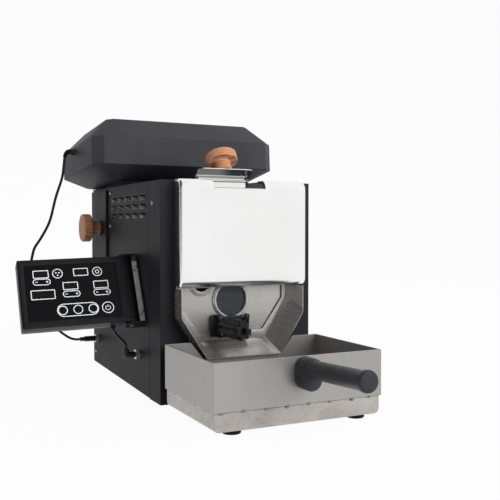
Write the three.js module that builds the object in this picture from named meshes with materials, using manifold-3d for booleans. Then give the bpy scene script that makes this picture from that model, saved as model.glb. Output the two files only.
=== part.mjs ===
// Home coffee bean roaster: a steel body with a geared drum, a feed flap, a discharge door, a chaff
// drawer, a hinged exhaust fan box, a swivelling control panel and a draw-out cooling tray.
// Millimetres, +Z up. The front looks along -Y, and the floor is at Z = 0.

import * as THREE from 'three';
import { mergeVertices } from 'three/addons/utils/BufferGeometryUtils.js';
import { ConvexGeometry } from 'three/addons/geometries/ConvexGeometry.js';
import Module from 'manifold-3d';

const wasm = await Module();
wasm.setup();

// Shared values
const gap = 0.3;
const sheet = 1.5;
const thinSheet = 1.2;
const cutOver = 2;
const weldDistance = 0.0005;
const roundSides = 28;
const smallSides = 16;

// Body
const bodyWidth = 180;
const bodyDepth = 265.6;
const bodyHeight = 238.4;
const bodyEdgeFront = 0.8;
const bodyEdgeRear = 7.8;
const frameDepth = 35;
const baseHeight = 8.5;
const footWidth = 14;
const footLength = 140;
const footInset = 16;

// Drum and its line of parts
const drumX = -8.5;
const drumZ = 138;
const drumRadius = 58;
const drumWall = 1.5;
const drumBackGap = 4;
const drumStart = 38;
const shaftRadius = 5;
const vaneHeight = 15;
const vaneCount = 3;
const vaneThickness = 2;
const hubRadius = 10;
const spokeWidth = 8;
const spokeThickness = 3;
const drumEndThickness = 3;
const drumEndHoleRadius = 14;

// Front plate of the drum
const plateWidth = 132;
const plateHeight = 132;
const plateThickness = 3;
const plateCutX = 26;
const plateCutZ = 37;
const fasciaLip = 3;
const headRadius = 60;
const headWall = 1.5;
const bushRadius = 9;
const bushLength = 6;
const drumRunGap = 2;

// Sight glass and sampling port
const glassRadius = 17.7;
const glassRingBore = 16.5;
const glassDrop = 28.5;
const glassRingRadius = 20.3;
const glassRingDepth = 3.7;
const portOffsetX = 34.5;
const portOffsetZ = 9.6;
const portRadius = 14.3;
const portBore = 10;
const portDepth = 3;

// Discharge door
const doorWidth = 33.2;
const doorHeight = 13;
const doorThickness = 1.7;
const doorTopDrop = 2.5;
const doorArmWidth = 1.6;
const doorArmInset = 0.3;
const doorArmHeight = 5;
const doorLugGap = 0.4;
const doorLugWidth = 2;
const doorLugBottomZ = 70;
const doorLugHeight = 24;
const doorLugDepth = 11.7;
const doorStripHeight = 2.5;
const doorPinRadius = 1.5;
const doorPinZ = 91;
const doorPinY = -6;
const doorHoleWidth = 28;
const doorHoleHeight = 10;
const doorStemX = -13;
const doorStemDrop = 9;
const doorStemRadius = 3;
const doorKnobRadius = 10.4;
const doorKnobLobeDepth = 1.8;
const doorKnobLobes = 7;
const doorKnobLobeSteps = 5;
const doorKnobStart = -15;
const doorKnobLength = 44;
const doorKnobBore = 3.4;
const doorKnobBoreDepth = 6;

// Chute below the drum
const chuteRearY = -gap;
const chuteFrontY = -21;
const chuteSheet = 1.2;
const chuteTopZ = 123.6;
const chuteLeft = -73.5;
const chuteRightRear = 59.5;
const chuteRightFront = 70.5;
const chuteBendZ = 94;
const chuteBendRearZ = 111;
const chuteFloorRearZ = 66;
const chuteFloorFrontZ = 49.5;
const chuteFloorLeftRear = -56;
const chuteFloorRightRear = 33;
const chuteFloorLeftFront = -45;
const chuteFloorRightFront = 43;

// Hood
const hoodWidth = 149.5;
const hoodFrontY = -20;
const hoodAbove = 0.8;
const hoodBottomZ = 124.2;
const hoodBend = 9.2;
const hoodBendSteps = 6;
const hoodHem = 1.6;

// Feed hopper and its flap
const mouthLeft = -37.1;
const mouthWidth = 61;
const mouthRearY = 31.8;
const mouthNotchDrop = 8.6;
const hopperFrontY = -18.2;
const hopperLipDrop = 9;
const hopperShoulderY = -11.5;
const hopperShoulderDrop = 2;
const hopperFloorDrop = 22;
const hopperFloorRearDrop = 32.4;
const hopperBottomDrop = 37.4;
const feedWidth = 43;
const feedDepth = 17.1;
const flapPivotY = 27.3;
const flapPivotAbove = 1.8;
const flapPinRadius = 1.4;
const flapEarRadius = 2.9;
const flapEarFoot = 5;
const flapFoldBack = 1.7;
const flapFoldUp = 3.4;
const flapWidth = 66;
const flapLength = 18.5;
const flapCorner = 6;
const flapTilt = 30;
const bladeClear = 2;
const bladeLength = 36;
const bladeLean = 21.2;
const flapSheet = 1.2;
const flapKnobInset = 10.2;

// Turned wooden knobs
const knobRadius = 17.8;
const knobThickness = 10.6;
const knobStemRadius = 9.6;
const knobStemLength = 12.2;
const knobRound = 2.2;
const knobRoundSteps = 2;

// Bulkhead, drive and heater
const bulkheadBack = 75.6;
const gearTeeth = 40;
const pinionTeeth = 16;
const gearModule = 1.2;
const gearWidth = 4.5;
const gearStandOff = 3;
const toothAddendumShare = 0.85;
const toothDedendumShare = 1.15;
const toothTipShare = 0.28;
const toothRootShare = 0.6;
const toothWidthShare = 0.4;
const pinionPhaseShare = 0.5;
const gearBacklash = 0.3;
const motorRadius = 18.5;
const motorLength = 52;
const motorPlate = 46;
const motorPlateHeight = 30;
const motorPlateDrop = 22;
const motorPlateThickness = 2;
const motorShaftRadius = 3;
const postRadius = 3;
const postOffsetX = 20;
const postUp = 4;
const postDown = 18;
const heaterRadius = 4;
const heaterOrbit = 65;
const heaterHalfWidth = 40;
const heaterFrontY = 46;
const heaterTail = 12;
const heaterSides = 10;
const heaterSteps = 30;
const shieldRadius = 74;
const shieldSpan = 240;
const shieldFlange = 6;
const shieldStart = 40;
const heaterLegShares = [0, 0.25, 0.5, 0.75];
const heaterBowTurns = [0, 30, 60, 90, 120, 150, 180];

// Chaff drawer, its chamber and flue
const drawerFrontBack = 71.6;
const drawerFrontLength = 68;
const drawerFrontBottomZ = 143;
const drawerFrontHeight = 92;
const drawerFrontThickness = 2.6;
const drawerBoxLength = 52;
const drawerBoxDepth = 80;
const drawerBoxHeight = 52;
const drawerBoxBottomZ = 150;
const drawerWall = 1.2;
const drawerKnobBack = 40.6;
const drawerKnobZ = 187.5;
const drawerWindowClear = 1.5;
const chamberWall = 1.2;
const chamberClear = 1;
const flueLength = 40;
const flueWidth = 52;
const flueInset = 8;
const collarWidth = 26;
const collarHeight = 26;
const collarOffsetX = 53;
const collarRise = 14;

// Exhaust fan box, hinged along the rear edge of the body
const boxHalfWidth = 117.9;
const boxHalfDepth = 83.6;
const boxCorner = 12;
const boxWallHeight = 33.3;
const boxRoofHeight = 25;
const boxRoofInset = 23.8;
const boxSkirtHeight = 13.95;
const boxSkirtInset = 25.3;
const boxWall = 2;
const boxTilt = 4;
const boxCentreX = -9.3;
const boxCentreBack = 62.6;
const boxCentreAbove = 35.05;
const boxEdgeCorner = 7;
const hingeRadius = 2;
const hingePinRadius = 0.9;
const hingeBehind = 2.6;
const hingeAbove = 0.2;
const hingeKnuckle = 24;
const hingeKnuckles = 5;
const hingeLeaf = 14;
const hingeLeafThickness = 1.4;
const hingeStep = 0.4;
const sealWidth = 5;
const sealLeftInset = 4;
const sealRightInset = 10;
const sealFrontInset = 5;
const sealRearInset = 12;
const fanBarWidth = 14;
const fanBarThickness = 3;
const fanBarDrop = 3;
const exhaustMotorRadius = 17;
const exhaustMotorHeight = 14;
const exhaustShaftRadius = 2.5;
const impellerLift = 1;
const impellerRadius = 46;
const impellerDisc = 1.6;
const impellerBladeHeight = 12;
const impellerBlades = 9;
const impellerBladeWidth = 1.6;
const impellerBladeLength = 20;
const impellerHubRadius = 9;
const exhaustSlots = 7;
const exhaustSlotWidth = 14;
const exhaustSlotHeight = 14;
const exhaustSlotPitch = 22;
const glandRadius = 4.2;
const glandLength = 5;
const glandBack = 12;
const glandUp = 11.2;

// Cooling tray
const trayWidth = 181.4;
const trayX = 0.4;
const trayRearY = -14.8;
const trayFrontY = -139.5;
const trayTopZ = 67.6;
const trayBottomZ = 21.9;
const traySheet = 1.5;
const trayNotchSide = 1.5;
const trayNotchDrop = 1;
const trayNotchFlare = 5.6;
const ledgeThickness = 1.2;
const ledgeWidth = 6;
const panInset = 1.4;
const panBottomZ = 3.9;
const panBend = 5;
const panBendSteps = 3;
const screenThickness = 1;
const screenColumns = 9;
const screenRows = 6;
const screenHoleRadius = 4;
const screenHoleSides = 6;
const screenMargin = 14;
const portWidth = 80;
const portHeight = 9;
const portBottomZ = 10.8;
const ductWall = 1.2;
const trayFootRadius = 9;
const trayFootSideInset = 23;
const trayFootEndInset = 11.5;
const handleX = 3;
const handleBlockWidth = 21;
const handleBlockHeight = 31;
const handleBlockDepth = 16;
const handleBlockZ = 52;
const handleRise = 3;
const handleZ = 57.2;
const handleCollarRadius = 10;
const handleCollarDepth = 2.4;
const handleRadius = 8.8;
const handleLength = 83;
const handleCapRadius = 9.8;
const handleCapLength = 6;
const handleCapChamfer = 1.6;

// Control panel and its swivel bracket
const panelPivotOut = 14;
const panelPivotY = 50.4;
const panelPivotZ = 82.8;
const panelLean = 26;
const panelTurn = -4;
const panelLength = 117.6;
const panelHeight = 77.7;
const panelThickness = 17;
const panelGlassLength = 98;
const panelGlassHeight = 63.4;
const panelGlassThickness = 1.4;
const panelGlassStart = 12.7;
const panelGlassDepth = 12;
const panelWall = 2;
const bracketSheet = 1.5;
const bracketTab = 2;
const bracketTabRadius = 9;
const bracketPinRadius = 2;
const bracketPinReach = 9;

// Sockets, plugs and leads
const fanSocketBack = 22.6;
const fanSocketZ = 41;
const panelSocketY = 71.5;
const panelSocketZ = 44.8;
const socketNutRadius = 6;
const socketNutDepth = 4.2;
const socketNutSides = 6;
const socketBarrelRadius = 4.2;
const socketDepth = 14;
const fanPlugRadius = 3.6;
const fanPlugLength = 20;
const fanBootRadius = 2.7;
const fanBootLength = 6;
const panelPlugRadius = 3.4;
const panelPlugReach = 10;
const panelPlugRise = 6.6;
const leadDiameter = 3.2;
const leadSides = 8;
const fanLeadSteps = 44;
const panelLeadSteps = 16;

// Rear of the body
const inletX = -52;
const inletZ = 42;
const inletFlangeWidth = 34;
const inletFlangeHeight = 27;
const inletBodyWidth = 27;
const inletBodyHeight = 20;
const inletDepth = 18;
const inletRecess = 13;
const inletWall = 2.2;
const inletPinWidth = 2;
const inletPinHeight = 4;
const inletPinPitch = 7;
const coolingFanSize = 60;
const coolingFanDepth = 20;
const coolingFanX = 45;
const coolingFanZ = 46;
const coolingFanBore = 27;
const coolingFanHub = 11;
const coolingBlades = 7;
const coolingTipGap = 1.2;
const coolingArm = 4;
const coolingBladePitch = 30;
const boardX = 20;
const boardY = 60;
const boardWidth = 60;
const boardLength = 80;
const boardThickness = 1.6;
const boardPost = 8;
const boardEdge = 5;
const boardPartHeight = 18;
const boardPartShares = [
  [0.15, 0.45, 0.15, 0.4, 1],
  [0.55, 0.9, 0.2, 0.35, 0.7],
  [0.2, 0.5, 0.55, 0.85, 0.5],
  [0.6, 0.85, 0.5, 0.8, 0.9],
];

// Louvres in the side panels
const louvreColumns = 5;
const louvreRows = 3;
const louvreLength = 20;
const louvreHeight = 3.4;
const louvrePitchY = 27.4;
const louvrePitchZ = 9.8;
const louvreFrontY = 47;
const louvreDrop = 14.4;

// Materials
function paint(color, roughness, metalness) {
  return new THREE.MeshStandardMaterial({ color, roughness, metalness });
}
const blackSteel = () => paint(0x232427, 0.55, 0.3);
const blackPlastic = () => paint(0x17171a, 0.4, 0);
const stainless = () => paint(0xb9b4ae, 0.3, 0.95);
const innerSteel = () => paint(0x8d8f92, 0.45, 0.9);
const darkSteel = () => paint(0x4b4c50, 0.5, 0.8);
const beech = () => paint(0xc98a56, 0.55, 0);
const rubber = () => paint(0x101011, 0.85, 0);
const brass = () => paint(0xb08d4a, 0.35, 0.9);
const darkGlass = () => paint(0x0b0c0f, 0.08, 0.1);
const boardGreen = () => paint(0x1f5a38, 0.6, 0.1);

// Solids from geometries
function solid(geometry) {
  const bare = geometry.clone();
  bare.deleteAttribute('normal');
  bare.deleteAttribute('uv');
  const merged = mergeVertices(bare, weldDistance);
  return new wasm.Manifold(new wasm.Mesh({
    numProp: 3,
    vertProperties: new Float32Array(merged.attributes.position.array),
    triVerts: new Uint32Array(merged.index.array),
  }));
}

function geometryOf(manifold) {
  const mesh = manifold.getMesh();
  const geometry = new THREE.BufferGeometry();
  geometry.setAttribute('position', new THREE.BufferAttribute(mesh.vertProperties, 3));
  geometry.setIndex(new THREE.BufferAttribute(mesh.triVerts, 1));
  return geometry;
}

function piece(name, manifold, material) {
  const mesh = new THREE.Mesh(geometryOf(manifold), material);
  mesh.name = name;
  return mesh;
}

function block(x0, x1, y0, y1, z0, z1) {
  const geometry = new THREE.BoxGeometry(x1 - x0, y1 - y0, z1 - z0);
  geometry.translate((x0 + x1) / 2, (y0 + y1) / 2, (z0 + z1) / 2);
  return solid(geometry);
}

// A prism whose outline lies across one axis: 'x' takes (y, z), 'y' takes (x, z), 'z' takes (x, y)
function prism(axis, outline, from, to, holes = []) {
  const shape = new THREE.Shape(outline.map(([a, b]) => new THREE.Vector2(a, b)));
  for (const hole of holes) {
    shape.holes.push(new THREE.Path(hole.map(([a, b]) => new THREE.Vector2(a, b))));
  }
  const geometry = new THREE.ExtrudeGeometry(shape, { depth: to - from, bevelEnabled: false });
  geometry.translate(0, 0, from);
  if (axis === 'x') {
    geometry.applyMatrix4(new THREE.Matrix4().makeBasis(unitY, unitZ, unitX));
  } else if (axis === 'y') {
    geometry.applyMatrix4(new THREE.Matrix4().makeBasis(unitX, unitZ, unitY.clone().negate()));
    geometry.translate(0, from + to, 0);
  }
  return solid(geometry);
}
const unitX = new THREE.Vector3(1, 0, 0);
const unitY = new THREE.Vector3(0, 1, 0);
const unitZ = new THREE.Vector3(0, 0, 1);

function rod(axis, radius, from, to, a, b, sides = roundSides) {
  const geometry = new THREE.CylinderGeometry(radius, radius, to - from, sides);
  const middle = (from + to) / 2;
  if (axis === 'x') {
    geometry.rotateZ(Math.PI / 2);
    geometry.translate(middle, a, b);
  } else if (axis === 'y') {
    geometry.translate(a, middle, b);
  } else {
    geometry.rotateX(Math.PI / 2);
    geometry.translate(a, b, middle);
  }
  return solid(geometry);
}

function tubeRing(axis, outer, inner, from, to, a, b, sides = roundSides) {
  const cut = rod(axis, inner, from - cutOver, to + cutOver, a, b, sides);
  return rod(axis, outer, from, to, a, b, sides).subtract(cut);
}

function ball(radius, x, y, z) {
  const geometry = new THREE.SphereGeometry(radius, smallSides, smallSides / 2);
  geometry.translate(x, y, z);
  return solid(geometry);
}

function hull(points) {
  return solid(new ConvexGeometry(points.map(([x, y, z]) => new THREE.Vector3(x, y, z))));
}

// A turned piece about Z from a profile of [radius, height] pairs that starts and ends on the axis
function turned(profile, sides = roundSides) {
  const geometry = new THREE.LatheGeometry(profile.map(([r, z]) => new THREE.Vector2(r, z)), sides);
  geometry.rotateX(Math.PI / 2);
  return solid(geometry);
}

function moved(manifold, matrix) {
  return solid(geometryOf(manifold).applyMatrix4(matrix));
}

// A convex outline drawn in by a margin on every side
function inset(outline, margin) {
  const count = outline.length;
  const area = outline.reduce((sum, [a, b], i) => {
    const [c, d] = outline[(i + 1) % count];
    return sum + a * d - c * b;
  }, 0);
  const side = Math.sign(area);
  const lines = outline.map(([a, b], i) => {
    const [c, d] = outline[(i + 1) % count];
    const length = Math.hypot(c - a, d - b);
    const u = (c - a) / length;
    const v = (d - b) / length;
    return [a - side * v * margin, b + side * u * margin, u, v];
  });
  return lines.map(([a, b, u, v], i) => {
    const [c, d, p, q] = lines[(i + count - 1) % count];
    const t = ((a - c) * v - (b - d) * u) / (p * v - q * u);
    return [c + p * t, d + q * t];
  });
}

function joined(parts) {
  return parts.reduce((sum, part) => sum.add(part));
}

function degrees(value) {
  return value * Math.PI / 180;
}

const model = new THREE.Group();
const half = bodyWidth / 2;
const frontInner = sheet + gap;
const bulkheadY = bodyDepth - bulkheadBack;
const hoodTopZ = bodyHeight + hoodAbove;
const mouthNotchZ = bodyHeight - mouthNotchDrop;
const hopperLipZ = bodyHeight - hopperLipDrop;
const hopperShoulderZ = bodyHeight - hopperShoulderDrop;
const hopperFloorRearZ = bodyHeight - hopperFloorRearDrop;
const hopperBottomZ = bodyHeight - hopperBottomDrop;
const flapPivotZ = bodyHeight + flapPivotAbove;
const drawerFrontY0 = bodyDepth - drawerFrontBack;
const drawerKnobY = bodyDepth - drawerKnobBack;
const boxCentreY = bodyDepth - boxCentreBack;
const boxCentreZ = bodyHeight + boxCentreAbove;
const fanSocketY = bodyDepth - fanSocketBack;
const louvreTopZ = bodyHeight - louvreDrop;

// Outline of the drum's front plate
const plateOutline = [[1, 1], [1, -1], [-1, -1], [-1, 1]].flatMap(([sideX, sideZ]) => {
  const upright = [sideX * plateWidth / 2, sideZ * (plateHeight / 2 - plateCutZ)];
  const level = [sideX * (plateWidth / 2 - plateCutX), sideZ * plateHeight / 2];
  return sideX * sideZ > 0 ? [level, upright] : [upright, level];
}).map(([x, z]) => [drumX + x, drumZ + z]);

// Feed hopper: the under side of its sloping floor at a depth
const mouthRight = mouthLeft + mouthWidth;
const panRearY = trayRearY - panInset;
const hopperTopZ = bodyHeight - gap;
const hopperRearY = mouthRearY + thinSheet;
const feedStart = mouthRearY - feedDepth;
const hopperSlope = hopperFloorDrop / (feedStart - thinSheet - hopperFrontY);
function hopperFloorZ(y) {
  return hopperFloorRearZ + (feedStart - thinSheet - y) * hopperSlope;
}

// Steel casing
function edgeHeight(y) {
  return bodyEdgeFront + (bodyEdgeRear - bodyEdgeFront) * y / bodyDepth;
}

function frontFrame() {
  const outer = block(-half, half, 0, frameDepth, bodyEdgeFront, bodyHeight);
  const inside = block(-half + sheet, half - sheet, sheet, frameDepth + cutOver,
    bodyEdgeFront + sheet, bodyHeight - sheet);
  const window = prism('y', inset(plateOutline, fasciaLip), -cutOver, frameDepth);
  const mouth = block(mouthLeft - thinSheet - gap, mouthRight + thinSheet + gap, -cutOver,
    mouthRearY + thinSheet + gap, hopperFloorZ(sheet + gap) - gap, bodyHeight + cutOver);
  const intake = block(trayX - portWidth / 2, trayX + portWidth / 2, -cutOver, frameDepth,
    portBottomZ, portBottomZ + portHeight);
  const ductOuter = block(trayX - portWidth / 2 - ductWall, trayX + portWidth / 2 + ductWall,
    panRearY + gap, sheet, portBottomZ - ductWall, portBottomZ + portHeight + ductWall);
  const ductInner = block(trayX - portWidth / 2, trayX + portWidth / 2, panRearY - cutOver,
    sheet + cutOver, portBottomZ, portBottomZ + portHeight);
  return outer.subtract(inside).subtract(window).subtract(mouth).subtract(intake)
    .add(ductOuter.subtract(ductInner));
}

function louvres(side) {
  const slots = [];
  for (let column = 0; column < louvreColumns; column += 1) {
    for (let row = 0; row < louvreRows; row += 1) {
      const y = louvreFrontY + column * louvrePitchY;
      const z = louvreTopZ - row * louvrePitchZ;
      slots.push(block(side * half - cutOver, side * half + cutOver, y, y + louvreLength,
        z - louvreHeight, z));
    }
  }
  return joined(slots);
}

function sidePanel(side) {
  const y0 = frameDepth + gap;
  const outline = [[y0, edgeHeight(y0)], [bodyDepth, edgeHeight(bodyDepth)],
    [bodyDepth, bodyHeight], [y0, bodyHeight]];
  const inner = side * (half - sheet);
  const outer = side * half;
  let panel = prism('x', outline, Math.min(inner, outer), Math.max(inner, outer));
  panel = panel.subtract(louvres(side));
  if (side < 0) {
    const margin = chamberClear;
    panel = panel.subtract(block(-half - cutOver, -half + cutOver, drawerBoxY0 - margin,
      drawerBoxY0 + drawerBoxLength + margin, drawerBoxBottomZ - margin,
      drawerBoxBottomZ + drawerBoxHeight + margin));
    for (const [y, z] of [[fanSocketY, fanSocketZ], [panelSocketY, panelSocketZ]]) {
      panel = panel.subtract(rod('x', socketBarrelRadius + gap, -half - cutOver, -half + cutOver,
        y, z, smallSides));
    }
  }
  return panel;
}
const drawerBoxY0 = drawerFrontY0 + (drawerFrontLength - drawerBoxLength) / 2;

function topPanel() {
  const inner = half - sheet - gap;
  const plate = block(-inner, inner, frameDepth + gap, bodyDepth - sheet - gap,
    bodyHeight - sheet, bodyHeight);
  const flue = block(flueLeft, flueLeft + flueWidth, flueFront, flueFront + flueLength,
    bodyHeight - sheet - cutOver, bodyHeight + cutOver);
  return plate.subtract(flue);
}
const chamberLeft = -half + sheet + gap;
const chamberY0 = drawerBoxY0 - chamberClear - chamberWall;
const chamberY1 = drawerBoxY0 + drawerBoxLength + chamberClear + chamberWall;
const chamberRight = chamberLeft + drawerBoxDepth + chamberClear + chamberWall;
const flueLeft = chamberLeft + flueInset;
const flueFront = chamberY0 + chamberWall;

function rearPanel() {
  const inner = half - sheet - gap;
  let plate = block(-inner, inner, bodyDepth - sheet, bodyDepth, bodyEdgeRear, bodyHeight);
  plate = plate.subtract(block(inletX - inletBodyWidth / 2 - gap, inletX + inletBodyWidth / 2 + gap,
    bodyDepth - sheet - cutOver, bodyDepth + cutOver,
    inletZ - inletBodyHeight / 2 - gap, inletZ + inletBodyHeight / 2 + gap));
  const bars = 7;
  const pitch = 2 * coolingFanBore / bars;
  for (let bar = 0; bar < bars; bar += 1) {
    const z = coolingFanZ - coolingFanBore + (bar + 0.5) * pitch;
    const reach = Math.sqrt(coolingFanBore ** 2 - (z - coolingFanZ) ** 2);
    plate = plate.subtract(block(coolingFanX - reach, coolingFanX + reach,
      bodyDepth - sheet - cutOver, bodyDepth + cutOver, z - pitch / 4, z + pitch / 4));
  }
  return plate;
}

function basePlate() {
  const inner = half - sheet - gap;
  return block(-inner, inner, frontInner, bodyDepth - sheet - gap, baseHeight, baseHeight + sheet);
}

function footStrip(y) {
  return block(-footLength / 2, footLength / 2, y, y + footWidth, 0, baseHeight - gap);
}

model.add(
  piece('front_frame', frontFrame(), blackSteel()),
  piece('side_panel_left', sidePanel(-1), blackSteel()),
  piece('side_panel_right', sidePanel(1), blackSteel()),
  piece('top_panel', topPanel(), blackSteel()),
  piece('rear_panel', rearPanel(), blackSteel()),
  piece('base_plate', basePlate(), darkSteel()),
  piece('foot_strip_front', footStrip(frameDepth + gap), rubber()),
  piece('foot_strip_rear', footStrip(bodyDepth - footInset - footWidth), rubber()),
);

// Drum's front plate with its tube, feed collar and shaft bush
const plateFront = frontInner;
const plateRear = plateFront + plateThickness;
const headEnd = drumStart - drumRunGap;
const glassZ = drumZ - glassDrop;
const portX = drumX - portOffsetX;
const portZ = drumZ - portOffsetZ;
const feedLeft = (mouthLeft + mouthRight - feedWidth) / 2 - gap;
const feedRight = feedLeft + feedWidth;
const doorTopZ = doorPinZ - doorTopDrop;
const doorMiddleZ = doorTopZ - doorHeight / 2;

function drumFrontPlate() {
  const plate = prism('y', plateOutline, plateFront, plateRear);
  const head = rod('y', headRadius, plateRear - sheet, headEnd, drumX, drumZ);
  const bore = rod('y', headRadius - headWall, plateRear, headEnd + cutOver, drumX, drumZ);
  const feedOuter = block(feedLeft - thinSheet, feedRight + thinSheet, feedStart - thinSheet,
    feedStart + feedDepth + thinSheet, drumZ + headRadius / 2, hopperBottomZ - gap);
  const feedInner = block(feedLeft, feedRight, feedStart, feedStart + feedDepth,
    drumZ, hopperBottomZ + cutOver);
  const bush = rod('y', bushRadius, plateRear - sheet, plateRear + bushLength, drumX, drumZ);
  const shell = head.add(feedOuter).subtract(bore).subtract(feedInner);
  const holes = [
    rod('y', shaftRadius + gap, -cutOver, headEnd, drumX, drumZ, smallSides),
    rod('y', glassRadius + gap, -cutOver, plateRear + cutOver, drumX, glassZ),
    rod('y', portBore + thinSheet, -cutOver, plateRear + cutOver, portX, portZ, smallSides),
    block(drumX - doorHoleWidth / 2, drumX + doorHoleWidth / 2, -cutOver, plateRear + cutOver,
      doorMiddleZ - doorHoleHeight / 2, doorMiddleZ + doorHoleHeight / 2)
      .intersect(rod('y', headRadius - headWall, -cutOver, plateRear + cutOver, drumX, drumZ)),
  ];
  return plate.add(shell).add(bush).subtract(joined(holes));
}

function clampRing(outer, inner, depth, x, z, sides) {
  return tubeRing('y', outer, inner, sheet - depth, sheet, x, z, sides);
}

model.add(
  piece('drum_front_plate', drumFrontPlate(), darkSteel()),
  piece('sight_glass_ring', clampRing(glassRingRadius, glassRingBore, glassRingDepth,
    drumX, glassZ, roundSides), stainless()),
  piece('sight_glass', rod('y', glassRadius, plateFront, plateRear, drumX, glassZ), darkGlass()),
  piece('sampling_port', clampRing(portRadius, portBore, portDepth, portX, portZ, smallSides),
    stainless()),
);

// Discharge door: a bracket with a pin, a flap with two arms and a fluted knob
const lugInner = doorWidth / 2 + doorLugGap;
const lugOuter = lugInner + doorLugWidth;
const stemX = drumX + doorStemX;
const stemZ = doorPinZ - doorStemDrop;

function dischargeBracket() {
  const y0 = -gap - doorLugDepth;
  const top = doorLugBottomZ + doorLugHeight;
  const strip = block(drumX - lugOuter, drumX + lugOuter, y0, -gap, doorLugBottomZ,
    doorLugBottomZ + doorStripHeight);
  const left = block(drumX - lugOuter, drumX - lugInner, y0, -gap, doorLugBottomZ, top);
  const right = block(drumX + lugInner, drumX + lugOuter, y0, -gap, doorLugBottomZ, top);
  const pin = rod('x', doorPinRadius, drumX - lugOuter, drumX + lugOuter, doorPinY, doorPinZ,
    smallSides);
  return joined([strip, left, right, pin]);
}

function dischargeDoor() {
  const rear = sheet;
  const front = rear - doorThickness;
  let door = block(drumX - doorWidth / 2, drumX + doorWidth / 2, front, rear,
    doorTopZ - doorHeight, doorTopZ);
  const reach = doorPinRadius + gap + doorArmWidth;
  for (const side of [-1, 1]) {
    const outer = drumX + side * (doorWidth / 2 - doorArmInset);
    const inner = outer - side * doorArmWidth;
    const x0 = Math.min(outer, inner);
    const x1 = Math.max(outer, inner);
    const arm = block(x0, x1, doorPinY, front + doorThickness / 2, doorPinZ - doorArmHeight,
      doorTopZ);
    door = door.add(arm).add(rod('x', reach, x0, x1, doorPinY, doorPinZ, smallSides));
  }
  const bore = rod('x', doorPinRadius + gap, drumX - doorWidth, drumX + doorWidth,
    doorPinY, doorPinZ, smallSides);
  const stem = rod('y', doorStemRadius, doorKnobStart - gap - doorKnobBoreDepth, front, stemX,
    stemZ, smallSides);
  return door.subtract(bore).add(stem);
}

function dischargeKnob() {
  const count = doorKnobLobes * doorKnobLobeSteps;
  const outline = Array.from({ length: count }, (_, i) => {
    const turn = 2 * Math.PI * i / count;
    const dip = doorKnobLobeDepth * (1 - Math.cos(doorKnobLobes * turn)) / 2;
    const radius = doorKnobRadius - dip;
    return [stemX + radius * Math.cos(turn), stemZ + radius * Math.sin(turn)];
  });
  const front = doorKnobStart - doorKnobLength;
  const bore = rod('y', doorStemRadius + gap, doorKnobStart - 2 * doorKnobBoreDepth,
    doorKnobStart + cutOver, stemX, stemZ, smallSides);
  const face = rod('y', doorKnobBore, front - cutOver, front + doorKnobBoreDepth, stemX, stemZ,
    smallSides);
  return prism('y', outline, front, doorKnobStart).subtract(bore).subtract(face);
}

model.add(
  piece('discharge_bracket', dischargeBracket(), blackSteel()),
  piece('discharge_door', dischargeDoor(), darkSteel()),
  piece('discharge_knob', dischargeKnob(), blackPlastic()),
);

// Chute: a flared trough between two matching outlines
function chuteOutline(share, margin) {
  const mix = (rear, front) => rear + (front - rear) * share;
  const right = mix(chuteRightRear, chuteRightFront);
  const floor = mix(chuteFloorRearZ, chuteFloorFrontZ);
  const outline = [
    [chuteLeft, chuteTopZ],
    [chuteLeft, chuteBendZ],
    [mix(chuteFloorLeftRear, chuteFloorLeftFront), floor],
    [mix(chuteFloorRightRear, chuteFloorRightFront), floor],
    [right, mix(chuteBendRearZ, chuteBendZ)],
    [right, chuteTopZ],
  ];
  return margin ? inset(outline, margin).map(([x, z]) => (z > chuteTopZ - 2 * margin
    ? [x, z + cutOver + margin] : [x, z])) : outline;
}

function between(outlineRear, outlineFront, rearY, frontY) {
  return hull([...outlineRear.map(([x, z]) => [x, rearY, z]),
    ...outlineFront.map(([x, z]) => [x, frontY, z])]);
}

function dischargeChute() {
  const depth = chuteRearY - chuteFrontY;
  const over = cutOver / depth;
  const outer = between(chuteOutline(0), chuteOutline(1), chuteRearY, chuteFrontY);
  const inner = between(chuteOutline(-over, chuteSheet), chuteOutline(1 + over, chuteSheet),
    chuteRearY + cutOver, chuteFrontY - cutOver);
  return outer.subtract(inner);
}

// Hood: a bent sheet with closed sides, a hemmed lower edge and a notch for the hopper
function hoodProfile(margin, over) {
  const front = hoodFrontY + margin;
  const top = hoodTopZ - margin;
  const bend = hoodBend - margin;
  const outline = [[-gap + over, hoodBottomZ - over], [front, hoodBottomZ - over]];
  for (let step = 0; step <= hoodBendSteps; step += 1) {
    const turn = step / hoodBendSteps * Math.PI / 2;
    outline.push([front + bend - bend * Math.cos(turn), top - bend + bend * Math.sin(turn)]);
  }
  outline.push([-gap + over, top]);
  return outline;
}

function hood() {
  const inner = hoodWidth / 2 - thinSheet;
  const outer = prism('x', hoodProfile(0, 0), -hoodWidth / 2, hoodWidth / 2);
  const hollow = prism('x', hoodProfile(thinSheet, cutOver), -inner, inner);
  const hem = rod('x', hoodHem, -hoodWidth / 2, hoodWidth / 2, hoodFrontY + hoodHem,
    hoodBottomZ + hoodHem, smallSides);
  const notch = block(mouthLeft, mouthRight, hoodFrontY - cutOver, cutOver, mouthNotchZ,
    hoodTopZ + cutOver);
  return outer.subtract(hollow).add(hem).subtract(notch);
}

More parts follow.
